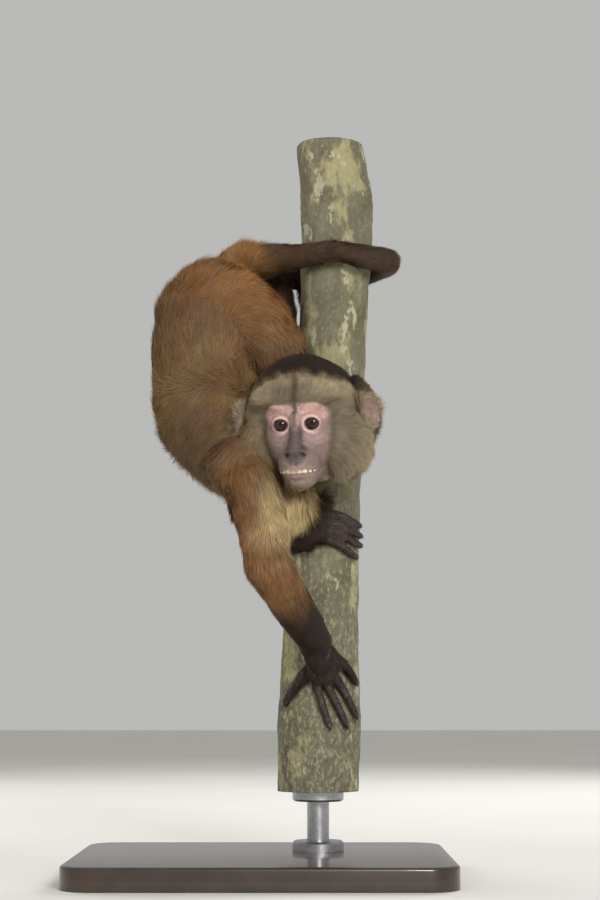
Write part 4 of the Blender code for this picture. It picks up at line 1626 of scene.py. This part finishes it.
@dataclass
class Coat:
    """The fur: flat tapering blades in locks, joined into a few meshes.

    Attributes:
        lines: the lines of the body.
        markings: of skin and coat.
        chance: the source of what is random.
        piece: the most blades in one mesh.
        gathering: how far a blade's tip is drawn to the tip of its lock, from 0 to 1.
        lock: how many blades make a lock.
        stages: the shares of a blade's length at its root, its bend and its tip.
        faces: of a blade, whose vertices are two at the root, two at the bend and its tip.
    """

    lines: Lines
    markings: Markings
    chance: np.random.Generator = field(default_factory=lambda: np.random.default_rng(SEED))
    piece: int = 66_000
    gathering: float = 0.3
    lock: int = 22
    stages: tuple[float, ...] = (0.0, 0.5, 1.0)
    faces: tuple[tuple[int, ...], ...] = ((0, 1, 3), (0, 3, 2), (2, 3, 4))

    def head_fur(self, spots: Array) -> tuple[Array, ...]:
        """The fur of the head.

        Args:
            spots: places in mm.

        Returns:
            Its length, width, lift and density at each.
        """
        head = in_head(spots)
        x, y, z = head.T
        off = np.abs(x)
        edge = face_edge(head)
        edge = np.where(y > 34, 3.0, edge)
        length = np.interp(edge, (0.8, 1.0, 1.15, 1.4, 1.9, 3.0), (1.6, 3.6, 8.0, 12.0, 15.5, 19.0))
        crown = ease(8, 30, z) * ease(60, 48, off)
        length = length * (1 - crown) + np.minimum(length, 8.0) * crown
        bare = bare_face(head)
        length = length * (1 - bare) + 1.7 * bare
        width = np.interp(length, (1.5, 4, 8, 15), (0.17, 0.24, 0.3, 0.37))
        lift = np.interp(edge, (1.0, 1.4, 2.2, 3.0), (16, 22, 30, 38)) * (1 - 0.3 * crown)
        density = np.interp(length, (1.7, 3.5, 7, 14), (0.3, 7.6, 6.8, 5.0))
        eye = np.hypot((off - EYE_X) / 10.5, z / 9.0)
        lips = np.hypot(x / 14.5, (z + 35) / 4.2)
        nose = np.hypot(x / 10, (z + 20) / 8)
        clear = ease(0.95, 1.15, eye) * ease(0.95, 1.1, lips) * ease(0.95, 1.1, nose)
        ear = ease(47, 50, off) * ease(20, 15, np.abs(z - 3.5)) * (y < 50)
        density = density * np.where(y < 20, clear, 1.0) * (1 - 0.9 * ear)
        above_ear = ease(34, 44, off) * ease(8, 16, z) * ease(40, 26, z)
        length = length * (1 - 0.7 * ear) * (1 - 0.3 * above_ear)
        corner = np.exp(-(((off - 34) / 13) ** 2 + ((z - 31) / 9) ** 2)) * ease(28, 44, y)
        return length + (13 - length) * corner, width, lift + 5 * corner, density

    def ways(self, spots: Array, near: dict[Part, Array], ways: Array, shares: Array) -> Array:
        """The lie of the fur, before it is laid on the skin.

        Args:
            spots: places in mm.
            near: how much each place belongs to each part.
            ways: the direction of each part's line there.
            shares: the share of the way along each part's line.

        Returns:
            A direction for each place.
        """
        way = sum(near[part][:, None] * ahead for part, ahead in zip(self.lines.parts, ways))
        head = in_head(spots)
        out = head - np.array((0.0, -42.0, -8.0))
        out[:, 2] -= 24 * ease(24, -34, head[:, 2]) + 2
        turned = unit(out) @ np.array(HEAD)[:3, :3].T
        on_head = near[Part.HEAD][:, None]
        way = way * (1 - on_head) + turned * on_head
        way[:, 2] -= 1.1 * near[Part.TORSO] * ease(340, 300, spots[:, 2])
        along = dict(zip(self.lines.parts, shares))
        shoulder = ease(415, 372, spots[:, 2]) * ease(-10, -38, spots[:, 1])
        for share, over in (
            (near[Part.UPPER_ARM_LEFT] * ease(0.45, 0.0, along[Part.UPPER_ARM_LEFT]), (0.3, -0.62, -0.72)),
            (near[Part.UPPER_ARM_RIGHT] * ease(0.45, 0.0, along[Part.UPPER_ARM_RIGHT]), (0.2, 0.5, -0.8)),
            (shoulder * (near[Part.TORSO] + near[Part.NECK]) * 0.9, (-0.35, -0.2, -0.9)),
        ):
            way = way * (1 - share[:, None]) + np.array(over) * share[:, None]
        return way

    def densities(self, spots: Array) -> Array:
        """How thick the coat is.

        Args:
            spots: places in mm.

        Returns:
            Blades on a square millimetre at each.
        """
        near = self.lines.near(self.lines.ask(spots)[0], 4.0)
        density = sum(share * PELTS[part].density for part, share in near.items())
        return density * (1 - near[Part.HEAD]) + self.head_fur(spots)[3] * near[Part.HEAD]

    def roots(self, skin: Mesh) -> Roots:
        """Spreads roots over the skin.

        Args:
            skin: its mesh.

        Returns:
            The roots, each with its fur.
        """
        skin.calc_loop_triangles()
        corners = np.empty(len(skin.loop_triangles) * 3, np.int32)
        skin.loop_triangles.foreach_get("vertices", corners)
        corners = corners.reshape(-1, 3)
        spots, normals = places(skin), vectors(skin.vertex_normals, "vector")
        a, b, c = (spots[corners[:, i]] for i in range(3))
        area = np.linalg.norm(np.cross(b - a, c - a), axis=1) / 2
        expected = area * self.densities((a + b + c) / 3)
        count = np.floor(expected + self.chance.random(len(expected))).astype(int)
        which = np.repeat(np.arange(len(count)), count)
        u, v = self.chance.random(len(which)), self.chance.random(len(which))
        over = u + v > 1
        u[over], v[over] = 1 - u[over], 1 - v[over]
        mix = np.column_stack([1 - u - v, u, v])[:, :, None]
        place = (spots[corners[which]] * mix).sum(1)
        normal = unit((normals[corners[which]] * mix).sum(1))
        return self.dress_roots(place, normal)

    def dress_roots(self, place: Array, normal: Array) -> Roots:
        """Gives each root the length, lie, colour and map place of its fur.

        Args:
            place: of each root, in mm.
            normal: of the skin there.

        Returns:
            The roots.
        """
        gaps, shares, turns, ways = self.lines.ask(place)
        near, along = self.lines.near(gaps, 7.0), dict(zip(self.lines.parts, shares))
        on_head, torso, height = near[Part.HEAD], near[Part.TORSO], place[:, 2]
        way = self.ways(place, near, ways, shares)
        swirl = np.column_stack([waves(place, 34, seed) for seed in (11, 12, 13)]) * 0.22
        loose = 0.16 - 0.06 * on_head
        way = way + swirl + self.chance.normal(size=way.shape) * loose[:, None]
        way = unit(way - (way * normal).sum(1)[:, None] * normal)
        fur = [
            sum(share * getattr(PELTS[part], size) for part, share in near.items())
            for size in ("length", "width", "lift")
        ]
        length, width, lift = (
            body * (1 - on_head) + own * on_head for body, own in zip(fur, self.head_fur(place))
        )
        wrists = sum(near[part] * ease(0.45, 1.0, along[part]) for part in WRISTS)
        backs = sum(near[part] * ease(0.7, 0.25, along[part]) for part in EXTREMITIES)
        side = torso * ease(335, 305, height) * ease(2, -22, place[:, 0])
        for share, longer, wider, higher in (
            (torso * ease(330, 300, height), 0.25, 0.0, -0.45),  # hangs from the breast
            (torso * np.exp(-(((height - 388) / 28) ** 2)), -0.25, 0.0, -0.5),  # lies flat over the ribs
            (wrists, -0.4, 0.0, -0.35),
            (backs, 1.5, 0.4, 0.0),
            (side, 0.7, 0.0, 0.0),
        ):
            length, width = length * (1 + longer * share), width * (1 + wider * share)
            lift = lift * (1 + higher * share)
        length = length * self.chance.uniform(0.72, 1.12, len(length)) * (1 + 0.12 * waves(place, 17, 21))
        main, picked = gaps.argmin(0), np.arange(len(place))
        cells = np.array([part.value for part in self.lines.parts])[main]
        across = np.column_stack([turns[main, picked], shares[main, picked]])
        chart = cells[:, :2] + MAP_GAP + (cells[:, 2:] - 2 * MAP_GAP) * across
        return Roots(place, normal, way, length, width, lift, chart, *self.markings.at(place))

    def gather(self, roots: Roots) -> tuple[Array, Array]:
        """Puts each root in a lock.

        Args:
            roots: where the blades grow.

        Returns:
            For each root the number of its lock and of the root in the lock's middle.
        """
        total = len(roots.place)
        middles = self.chance.choice(total, max(1, total // self.lock), replace=False)
        tree = KDTree(len(middles))
        for i, m in enumerate(middles):
            tree.insert(roots.place[m], i)
        tree.balance()
        number = np.fromiter((tree.find(p)[1] for p in roots.place), int, total)
        return number, middles[number]

    def blades(self, roots: Roots, skin: BVHTree) -> tuple[Array, ...]:
        """Shapes the blades.

        Args:
            roots: where they grow.
            skin: its faces, in mm.

        Returns:
            For each blade its five vertices, their normals, their places on the map, and for
            each vertex the share of the length, the shade and the saturation.
        """
        number, middle = self.gather(roots)
        total = len(number)
        normal, way = roots.normal, roots.way
        low = np.radians(roots.lift * self.chance.uniform(0.65, 1.3, total))
        high = low * 0.12 - np.radians(4.0)
        draw = self.gathering * self.chance.uniform(0.5, 1.0, total)
        tip = roots.place[middle] + roots.way[middle] * roots.length[middle][:, None] * 0.95
        tip = tip + roots.normal[middle] * (roots.length[middle] * np.sin(low * 0.55))[:, None]
        paths = [roots.place - normal * 0.4]
        for start, end in zip(self.stages, self.stages[1:]):
            angle = low + (high - low) * (start + end) / 2
            step = way * np.cos(angle)[:, None] + normal * np.sin(angle)[:, None]
            paths.append(paths[-1] + step * (roots.length * (end - start))[:, None])
        pull = (tip - paths[-1]) * draw[:, None]
        paths = [path + pull * stage**1.6 for path, stage in zip(paths, self.stages)]
        head = in_head(roots.place)
        ahead = (np.abs(head[:, 0]) < 48) & (head[:, 1] < 48) & (np.abs(head[:, 2]) < 56)
        buried = np.where(ahead | (roots.length < 8.5))[0]
        for path, stage in zip(paths[1:], self.stages[1:]):
            self.lift_out(skin, path, buried, np.minimum(0.2 + 0.1 * roots.length, 1.1) * stage)
        side = unit(np.cross(way, normal))
        roll = self.chance.normal(scale=0.42, size=total)[:, None]
        side = unit(side * np.cos(roll) + normal * np.sin(roll))
        wide = roots.width * self.chance.uniform(0.75, 1.25, total) / 2
        vertices, normals, chart, lock = [], [], [], []
        locks = number.max() + 1
        shade = self.chance.uniform(0.87, 1.15, locks)[number] * self.chance.uniform(0.86, 1.16, total)
        warmth = self.chance.uniform(0.9, 1.08, locks)[number]
        last = len(self.stages) - 1
        for i, stage in enumerate(self.stages):
            ahead = unit(paths[min(i + 1, last)] - paths[max(i - 1, 0)])
            face = unit(np.cross(side, ahead))
            face = np.where((face * normal).sum(1)[:, None] < 0, -face, face)
            for hand in (-1, 1) if i < last else (0,):
                reach = wide * hand * (0.85 if i == 0 else 0.9)
                vertices.append(paths[i] + side * reach[:, None])
                normals.append(unit(face * 0.5 + normal * 0.7 + side * (0.34 * hand)))
                chart.append(roots.chart + np.array((0.0015 * hand, 0.003 * (stage - 0.5))))
                lock.append(np.column_stack([np.full(total, stage), shade, warmth]))
        return tuple(np.stack(rows, 1) for rows in (vertices, normals, chart, lock))

    @staticmethod
    def lift_out(skin: BVHTree, path: Array, chosen: Array, clearance: Array) -> None:
        """Moves the chosen points out of the skin, where a fold of it rises ahead of their roots.

        Args:
            skin: its faces, in mm.
            path: a point of each blade; changed in place.
            chosen: the numbers of the blades to look at.
            clearance: how far off the skin each must be, in mm.
        """
        for i in chosen:
            spot = Vector(path[i])
            near, out, _, _ = skin.find_nearest(spot)
            short = clearance[i] - (spot - near).dot(out)
            if short > 0:
                path[i] += np.array(out) * short

    def clear_of_perch(self, points: Array) -> Array:
        """Moves what lies in the trunk out to its bark.

        Args:
            points: rows in mm.

        Returns:
            The rows, moved.
        """
        axis, radius = perch_at(points[..., 2])
        radius = radius + 0.5
        off = points[..., :2] - np.stack([axis, np.full_like(axis, PERCH_Y)], -1)
        far = np.linalg.norm(off, axis=-1)
        inside = (far < radius) & (points[..., 2] < PERCH_TOP)
        scale = np.where(inside, radius / np.maximum(far, 1e-6), 1.0)[..., None]
        moved = points.copy()
        moved[..., :2] += off * (scale - 1)
        return moved

    def build(self, skin: Object) -> list[Object]:
        """Grows the coat.

        Args:
            skin: what it grows on.

        Returns:
            Its pieces.
        """
        roots = self.roots(skin.data)
        corners = [tuple(t.vertices) for t in skin.data.loop_triangles]
        tree = BVHTree.FromPolygons(places(skin.data).tolist(), corners)
        vertices, *looks = self.blades(roots, tree)
        vertices = self.clear_of_perch(vertices)
        order = np.argsort(roots.chart[:, 0] + 3 * roots.chart[:, 1], kind="stable")
        finish = CoatFinish().make()
        made = []
        for i, start in enumerate(range(0, len(order), self.piece)):
            pick = order[start : start + self.piece]
            marks = [rows[pick].repeat(vertices.shape[1], axis=0) for rows in (roots.first, roots.second)]
            normals, chart, lock = (rows[pick] for rows in looks)
            made.append(self.mesh(f"coat_{i + 1}", vertices[pick], normals, chart, lock, marks))
            made[-1].data.materials.append(finish)
        LOG.info("coat: %d blades in %d pieces", len(order), len(made))
        return made

    def mesh(
        self, name: str, vertices: Array, normals: Array, chart: Array, lock: Array, marks: object
    ) -> Object:
        """Joins blades into one mesh.

        Args:
            name: of the piece.
            vertices: five rows in mm for each blade.
            normals: their normals.
            chart: their places on the map.
            lock: their share of the length, shade and saturation.
            marks: the two sets of markings, a row for each vertex.

        Returns:
            The piece.
        """
        total, corners_each = vertices.shape[:2]
        starts = (np.arange(total) * corners_each)[:, None, None]
        corners = (np.array(self.faces)[None] + starts).reshape(-1, 3)
        flat = vertices.reshape(-1, 3)
        mesh = bpy.data.meshes.new(name)
        mesh.vertices.add(len(flat))
        mesh.vertices.foreach_set("co", (flat * MM).astype(np.float32).ravel())
        a, b, c = (flat[corners[:, i]] for i in range(3))
        against = (np.cross(b - a, c - a) * normals.reshape(-1, 3)[corners[:, 0]]).sum(1) < 0
        corners[against] = corners[against][:, ::-1]
        mesh.loops.add(corners.size)
        mesh.loops.foreach_set("vertex_index", corners.astype(np.int32).ravel())
        mesh.polygons.add(len(corners))
        mesh.polygons.foreach_set("loop_start", np.arange(0, corners.size, 3, dtype=np.int32))
        mesh.update(calc_edges=True)
        mesh.shade_smooth()
        spread = chart.reshape(-1, 2)[corners.ravel()].astype(np.float32)
        mesh.uv_layers.new(name="OFBake").uv.foreach_set("vector", spread.ravel())
        store(mesh, "lock", lock.reshape(-1, 3))
        for set_name, rows in zip(MARK_SETS, marks):
            store(mesh, set_name, rows)
        mesh.normals_split_custom_set_from_vertices(normals.reshape(-1, 3))
        return in_scene(name, mesh)


# ----- eyes, teeth and nails
@dataclass
class Eyes:
    """Two eyeballs that look at the viewer, with the moist margin of the lids round each."""

    viewer: Vector
    iris_turn: float = 44.0  # degrees from the pupil's middle to the edge of the iris
    margin: float = 0.5  # mm, radius of the rolled edge of the lid
    steps: int = 48  # sections round an eye

    def centre(self, side: int) -> Vector:
        """The middle of the eyeball, in mm."""
        return HEAD @ (Vector((side * EYE_X, EYE_DEPTH, 0)) * MM) / MM

    def ball(self, side: int) -> Object:
        """Makes an eyeball with a bulging cornea.

        Args:
            side: 1 for the left eye, -1 for the right.

        Returns:
            The eyeball.
        """
        bm = bmesh.new()
        middle = self.centre(side)
        gaze = (self.viewer - middle).normalized()
        facing = gaze.to_track_quat("Z", "Y").to_matrix().to_4x4()
        bmesh.ops.create_uvsphere(bm, u_segments=48, v_segments=36, radius=EYE_RADIUS * MM)
        rows = []
        for vertex in bm.verts:
            way = vertex.co.normalized()
            ring = math.degrees(way.angle(Vector((0, 0, 1)))) / self.iris_turn
            vertex.co += way * (0.55 * MM * max(0.0, 1 - ring**2))
            turn = math.atan2(way.y, way.x)
            rows.append((ring, math.cos(turn), math.sin(turn)))
        bmesh.ops.transform(bm, matrix=Matrix.Translation(middle * MM) @ facing, verts=bm.verts)
        eye = new_object("eyeball_left" if side > 0 else "eyeball_right", bm)
        store(eye.data, "gaze", np.array(rows))
        return dress(eye, EyeFinish())

    def lid_margin(self) -> Object:
        """Makes the rolled edges of all four lids.

        Returns:
            Two rings, as one piece.
        """
        bm = bmesh.new()
        for side in (-1, 1):
            ring = []
            for i in range(self.steps):
                a = math.tau * i / self.steps
                across, up = OPENING[0] * 0.99 * math.cos(a), OPENING[1] * 0.99 * math.sin(a)
                deep = EYE_DEPTH - math.sqrt((EYE_RADIUS + 0.35) ** 2 - across**2 - up**2)
                ring.append(Vector((side * EYE_X + side * across, deep, up)))
            loops = []
            for i, spot in enumerate(ring):
                ahead = (ring[(i + 1) % self.steps] - ring[i - 1]).normalized()
                frame = ahead.to_track_quat("Z", "Y").to_matrix().to_4x4()
                matrix = HEAD @ Matrix.Translation(spot * MM) @ frame
                made = bmesh.ops.create_circle(bm, segments=8, radius=self.margin * MM, matrix=matrix)
                loops.append({e for v in made["verts"] for e in v.link_edges})
            for low, high in zip(loops, loops[1:] + loops[:1]):
                bmesh.ops.bridge_loops(bm, edges=list(low | high))
        rim = PlainFinish("moist_lid_margin", "#8a7067", "#6f574e", 2.5, 0.3)
        return dress(new_object("lid_margins", bm), rim)


@dataclass
class Teeth:
    """The upper incisors, canines and first premolars that show between the lips.

    Attributes:
        row: x, width and height of each tooth on one side, in mm.
        top: the height of their tops in the head's frame, in mm.
        front: y of the middle of the row, in mm.
        arch: how far back the row bends, in mm for a square millimetre across.
        turn: degrees that a tooth turns for each mm across.
        thick: from front to back, in mm.
    """

    row: tuple[Row, ...] = ((2.1, 4.35, 6.7), (6.1, 3.95, 6.4), (9.7, 3.6, 6.5), (12.5, 2.7, 5.6))
    top: float = -30.6
    front: float = -11.3
    arch: float = 0.042
    turn: float = 3.2
    thick: float = 2.8

    def build(self) -> Object:
        """Makes the row of teeth.

        Returns:
            The teeth.
        """
        bm = bmesh.new()
        for side in (-1, 1):
            for x, wide, tall in self.row:
                others = set(bm.verts)
                made = bmesh.ops.create_cube(bm, size=1.0)["verts"]
                edges = list({e for v in made for e in v.link_edges})
                bmesh.ops.bevel(bm, geom=edges, offset=0.13, segments=3, **ROUNDED)
                fresh = [v for v in bm.verts if v not in others]
                taper = 0.3 if 8 < x < 11 else 0.04  # the canine is pointed
                for vertex in fresh:
                    low = 0.5 - vertex.co.z
                    vertex.co.x *= 1.0 - taper * low**2
                    vertex.co.y *= 1.0 - 0.45 * low
                y = self.front + self.arch * x * x
                lean = Matrix.Rotation(math.radians(side * x * self.turn), 4, "Z")
                place = HEAD @ Matrix.Translation(Vector((side * x, y, self.top - tall / 2)) * MM)
                size = Matrix.Diagonal((wide * MM, self.thick * MM, tall * MM, 1))
                bmesh.ops.transform(bm, matrix=place @ lean @ size, verts=fresh)
        enamel = PlainFinish("tooth_enamel", "#e4d6c4", "#cfbb9d", 2.5, 0.22, coat=0.4)
        return dress(new_object("teeth_upper_row", bm), enamel)


@dataclass
class Nails:
    """The twenty dark curved nails, one at the tip of each digit.

    Attributes:
        sections: of a nail: how far ahead of the digit's tip, how far out as a share of its
            radius, and half width and half thickness, in mm.
    """

    sections: tuple[Row, ...] = (
        (-1.6, 0.50, 0.9, 0.5), (-0.9, 0.66, 1.55, 0.7), (0.9, 0.62, 1.7, 0.7),
        (2.6, 0.34, 1.45, 0.6), (4.0, 0.02, 0.8, 0.45),
    )  # fmt: skip

    def build(self, gripping: dict[Part, Grip]) -> Object:
        """Makes all nails.

        Args:
            gripping: the hands and feet.

        Returns:
            The nails, as one piece.
        """
        bm = bmesh.new()
        for grip in gripping.values():
            for digit in grip.digits:
                tip, before = Vector(digit[-1][:3]), Vector(digit[-2][:3])
                radius = digit[-1][3]
                axis, _ = perch_at(tip.z)
                out = Vector((tip.x - axis, tip.y - PERCH_Y, 0)).normalized()
                ahead = (tip - before).normalized()
                ahead = (ahead - out * ahead.dot(out)).normalized()
                stations = []
                for along, lift, wide, thick in self.sections:
                    spot = tip + ahead * along + out * (lift * radius)
                    stations.append((*spot, wide, thick))
                add_sweep(bm, stations, across=tuple(out.cross(ahead)), sides=10, steps=2)
        horn = PlainFinish("nail_horn", "#2b2422", "#453a35", 3, 0.35, coat=0.2)
        return dress(new_object("nails", bm), horn)


# ----- perch and stand
@dataclass
class Perch:
    """A short cut length of a slim forest tree, its ends sawn flat."""

    sides: int = 80
    steps: int = 15

    def build(self) -> Object:
        """Makes the trunk with the low swells and crusts of its bark.

        Returns:
            The trunk.
        """
        bm = bmesh.new()
        stations = [(x, PERCH_Y, z, r, r) for z, x, r in PERCH_RINGS]
        add_sweep(bm, stations, across=(1, 0, 0), sides=self.sides, steps=self.steps)
        for height, facing in ((PERCH_FOOT, -1), (PERCH_TOP, 1)):
            whole = [*bm.verts, *bm.edges, *bm.faces]
            spot, way = (0, 0, height * MM), (0, 0, facing)
            cut = bmesh.ops.bisect_plane(
                bm, geom=whole, dist=1e-7, plane_co=spot, plane_no=way, clear_outer=True
            )
            rim = [e for e in cut["geom_cut"] if isinstance(e, bmesh.types.BMEdge)]
            bmesh.ops.contextual_create(bm, geom=rim)
        ends = [f for f in bm.faces if len(f.verts) > 8]
        bmesh.ops.inset_region(bm, faces=ends, thickness=1.6 * MM, depth=0.0)
        bmesh.ops.poke(bm, faces=ends)
        perch = new_object("perch_bark", bm)
        spots = places(perch.data)
        axis, radius = perch_at(spots[:, 2])
        off = np.column_stack([spots[:, 0] - axis, spots[:, 1] - PERCH_Y, np.zeros(len(axis))])
        far = np.linalg.norm(off, axis=1)
        sawn = ease(0.99, 0.955, far / radius)
        swell = 0.45 * waves(spots, 30, 41) + 0.22 * waves(spots, 9, 42) + 0.12 * waves(spots, 3.6, 43)
        swell = swell - 0.5
        move_to(perch.data, spots + unit(off) * (swell * (1 - sawn))[:, None])
        store(perch.data, "sawn", np.column_stack([sawn, far, np.zeros(len(far))]))
        return dress(perch, BarkFinish())


@dataclass
class Stand:
    """A plain display stand: a flat lacquered base, and one short turned rod with two collars."""

    width: float = 300.0
    depth: float = 230.0
    thick: float = 18.0
    corner: float = 26.0
    edge: float = 2.5
    rod: float = 9.0
    collar: float = 21.0
    collar_height: float = 8.0
    chamfer: float = 1.6
    gap: float = 0.1  # to base and perch

    def base(self) -> Object:
        """Makes the base, with rounded corners and a softened top edge.

        Returns:
            The base.
        """
        bm = bmesh.new()
        size = Matrix.Diagonal((self.width * MM, self.depth * MM, self.thick * MM, 1))
        bmesh.ops.create_cube(bm, size=1.0, matrix=size)
        bmesh.ops.translate(bm, verts=bm.verts, vec=(0, 0, self.thick / 2 * MM))
        upright = [e for e in bm.edges if abs(e.verts[0].co.z - e.verts[1].co.z) > self.thick / 2 * MM]
        bmesh.ops.bevel(bm, geom=upright, offset=self.corner * MM, segments=16, **ROUNDED)
        rim = [e for e in bm.edges if all(v.co.z > self.thick * 0.9 * MM for v in e.verts)]
        bmesh.ops.bevel(bm, geom=rim, offset=self.edge * MM, segments=4, **ROUNDED)
        base = new_object("stand_base_lacquered", bm)
        base.data.set_sharp_from_angle(angle=math.radians(35))
        walnut = PlainFinish("lacquered_walnut", "#3a2a20", "#2c1f18", 20, 0.32, 0.1, 0.5)
        return dress(base, walnut)

    def upright(self) -> Object:
        """Makes the rod and its collars, turned in one piece.

        Returns:
            The rod.
        """
        axis, _ = perch_at(PERCH_FOOT)
        low, top = self.thick + self.gap, PERCH_FOOT - self.gap
        low_top, top_foot = low + self.collar_height, top - self.collar_height
        rim, wide = self.collar - self.chamfer, self.collar
        outline = (
            (0.01, low), (wide, low), (wide, low_top - self.chamfer), (rim, low_top), (self.rod, low_top),
            (self.rod, top_foot), (rim, top_foot), (wide, top_foot + self.chamfer), (wide, top), (0.01, top),
        )  # fmt: skip
        bm = bmesh.new()
        corners = [bm.verts.new(Vector((axis + r, PERCH_Y, z)) * MM) for r, z in outline]
        lines = [bm.edges.new(pair) for pair in zip(corners, corners[1:])]
        centre = Vector((axis, PERCH_Y, 0)) * MM
        whole = {"axis": (0, 0, 1), "angle": math.tau, "steps": 72, "use_merge": True}
        bmesh.ops.spin(bm, geom=[*corners, *lines], cent=centre, **whole)
        bmesh.ops.remove_doubles(bm, verts=bm.verts, dist=0.02 * MM)
        rod = new_object("stand_rod_turned", bm)
        rod.data.set_sharp_from_angle(angle=math.radians(35))
        steel = PlainFinish("satin_steel", "#b4b4b6", "#a2a2a5", 4, 0.34, metallic=1.0)
        return dress(rod, steel)


# ----- the stage
@dataclass
class Studio:
    """A pale floor, soft lights and the camera.

    Attributes:
        camera_at: in mm.
        camera_tilt: degrees from looking straight down.
        lens: in mm.
        aim: the point that the lamps face, in metres.
        lamps: each lamp's name, place and size in metres, watts, and whether shiny things show it.
        air: the colour of the light from all round.
        air_strength: its strength.
    """

    camera_at: Vector = field(default_factory=lambda: Vector((30.0, -1430.0, 143.0)))
    camera_tilt: float = 98.0
    lens: float = 70.0
    aim: Vector = field(default_factory=lambda: Vector((0.0, -0.02, 0.34)))
    lamps: tuple[tuple, ...] = (
        ("key", (0.55, -1.75, 0.8), 0.5, 25.0, True),
        ("fill", (-1.2, -1.4, 0.5), 1.2, 5.0, False),
        ("rim", (0.9, 1.3, 1.2), 0.9, 20.0, False),
        ("back", (-1.3, 1.1, 0.7), 0.9, 12.0, False),
    )
    air: str = "#e6e6e4"
    air_strength: float = 0.62

    def camera(self) -> None:
        """Places the camera low in front, looking a little up."""
        data = bpy.data.cameras.new("camera")
        data.lens = self.lens
        data.sensor_width = 36.0
        made = in_scene("camera", data)
        made.location = self.camera_at * MM
        made.rotation_euler = (math.radians(self.camera_tilt), 0.0, 0.0)
        bpy.context.scene.camera = made

    def light(self, name: str, place: Row, size: float, watts: float, mirrored: bool) -> None:
        """Adds a square soft light that faces the animal.

        Args:
            name: of the light.
            place: in metres.
            size: of its side, in metres.
            watts: its power.
            mirrored: whether shiny things show it.
        """
        data = bpy.data.lights.new(name, "AREA")
        data.shape = "SQUARE"
        data.size = size
        data.energy = watts
        made = in_scene(name, data)
        made.location = place
        made.rotation_euler = (self.aim - Vector(place)).to_track_quat("-Z", "Y").to_euler()
        made.visible_glossy = mirrored

    def build(self) -> None:
        """Makes the floor, the air's own light, four lamps and the camera."""
        bm = bmesh.new()
        bmesh.ops.create_grid(bm, x_segments=1, y_segments=1, size=6.0)
        dress(new_object("floor", bm), PlainFinish("matt_paint", "#dedcd6", "#dad8d2", 300, 0.9))
        world = bpy.data.worlds.new("soft_air")
        world.use_nodes = True
        glow = world.node_tree.nodes["Background"].inputs
        glow["Color"].default_value = linear(self.air)
        glow["Strength"].default_value = self.air_strength
        scene = bpy.context.scene
        scene.world = world
        scene.view_settings.view_transform = "Standard"
        for lamp in self.lamps:
            self.light(*lamp)
        self.camera()


PAIRS = ("ear", "upper_arm", "forearm", "hand", "thigh", "shank", "foot")
FLESH = (
    *("belly", "chest", "rump", "neck", "head"),
    *(f"{part}_{side}" for part in PAIRS for side in ("left", "right")),
    *("tail_root", "tail_front", "tail_side", "tail_back", "tail_tip"),
)


def settle(piece: Object, slot: str, *nodes: str) -> None:
    """Lets a piece ride on the model's one body.

    Args:
        piece: what rides.
        slot: a material's name; not used.
        nodes: the solids it stands for.
    """
    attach(piece, "root")
    if nodes:
        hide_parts(*nodes)
    LOG.info("%s: %d faces", piece.name, len(piece.data.polygons))


def main() -> None:
    """Builds the model in order and reports each piece."""
    logging.basicConfig(level=logging.INFO, format="%(name)s %(message)s")
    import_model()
    studio = Studio()
    studio.build()
    lines = Lines()
    markings = Markings(lines)
    skin = Skin(markings).build()
    settle(skin, "cream_fur", *FLESH)
    for piece in Coat(lines, markings).build(skin):
        settle(piece, "rust_fur")
    eyes = Eyes(studio.camera_at)
    settle(eyes.ball(1), "eye", "eye_left")
    settle(eyes.ball(-1), "eye", "eye_right")
    settle(eyes.lid_margin(), "dark_skin")
    settle(Teeth().build(), "enamel", "teeth_upper")
    settle(Nails().build(grips()), "dark_skin")
    settle(Perch().build(), "bark", "perch_trunk")
    stand = Stand()
    settle(stand.base(), "lacquered_wood", "stand_base")
    settle(stand.upright(), "steel", "stand_rod")
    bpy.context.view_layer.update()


if __name__ == "__main__":
    main()
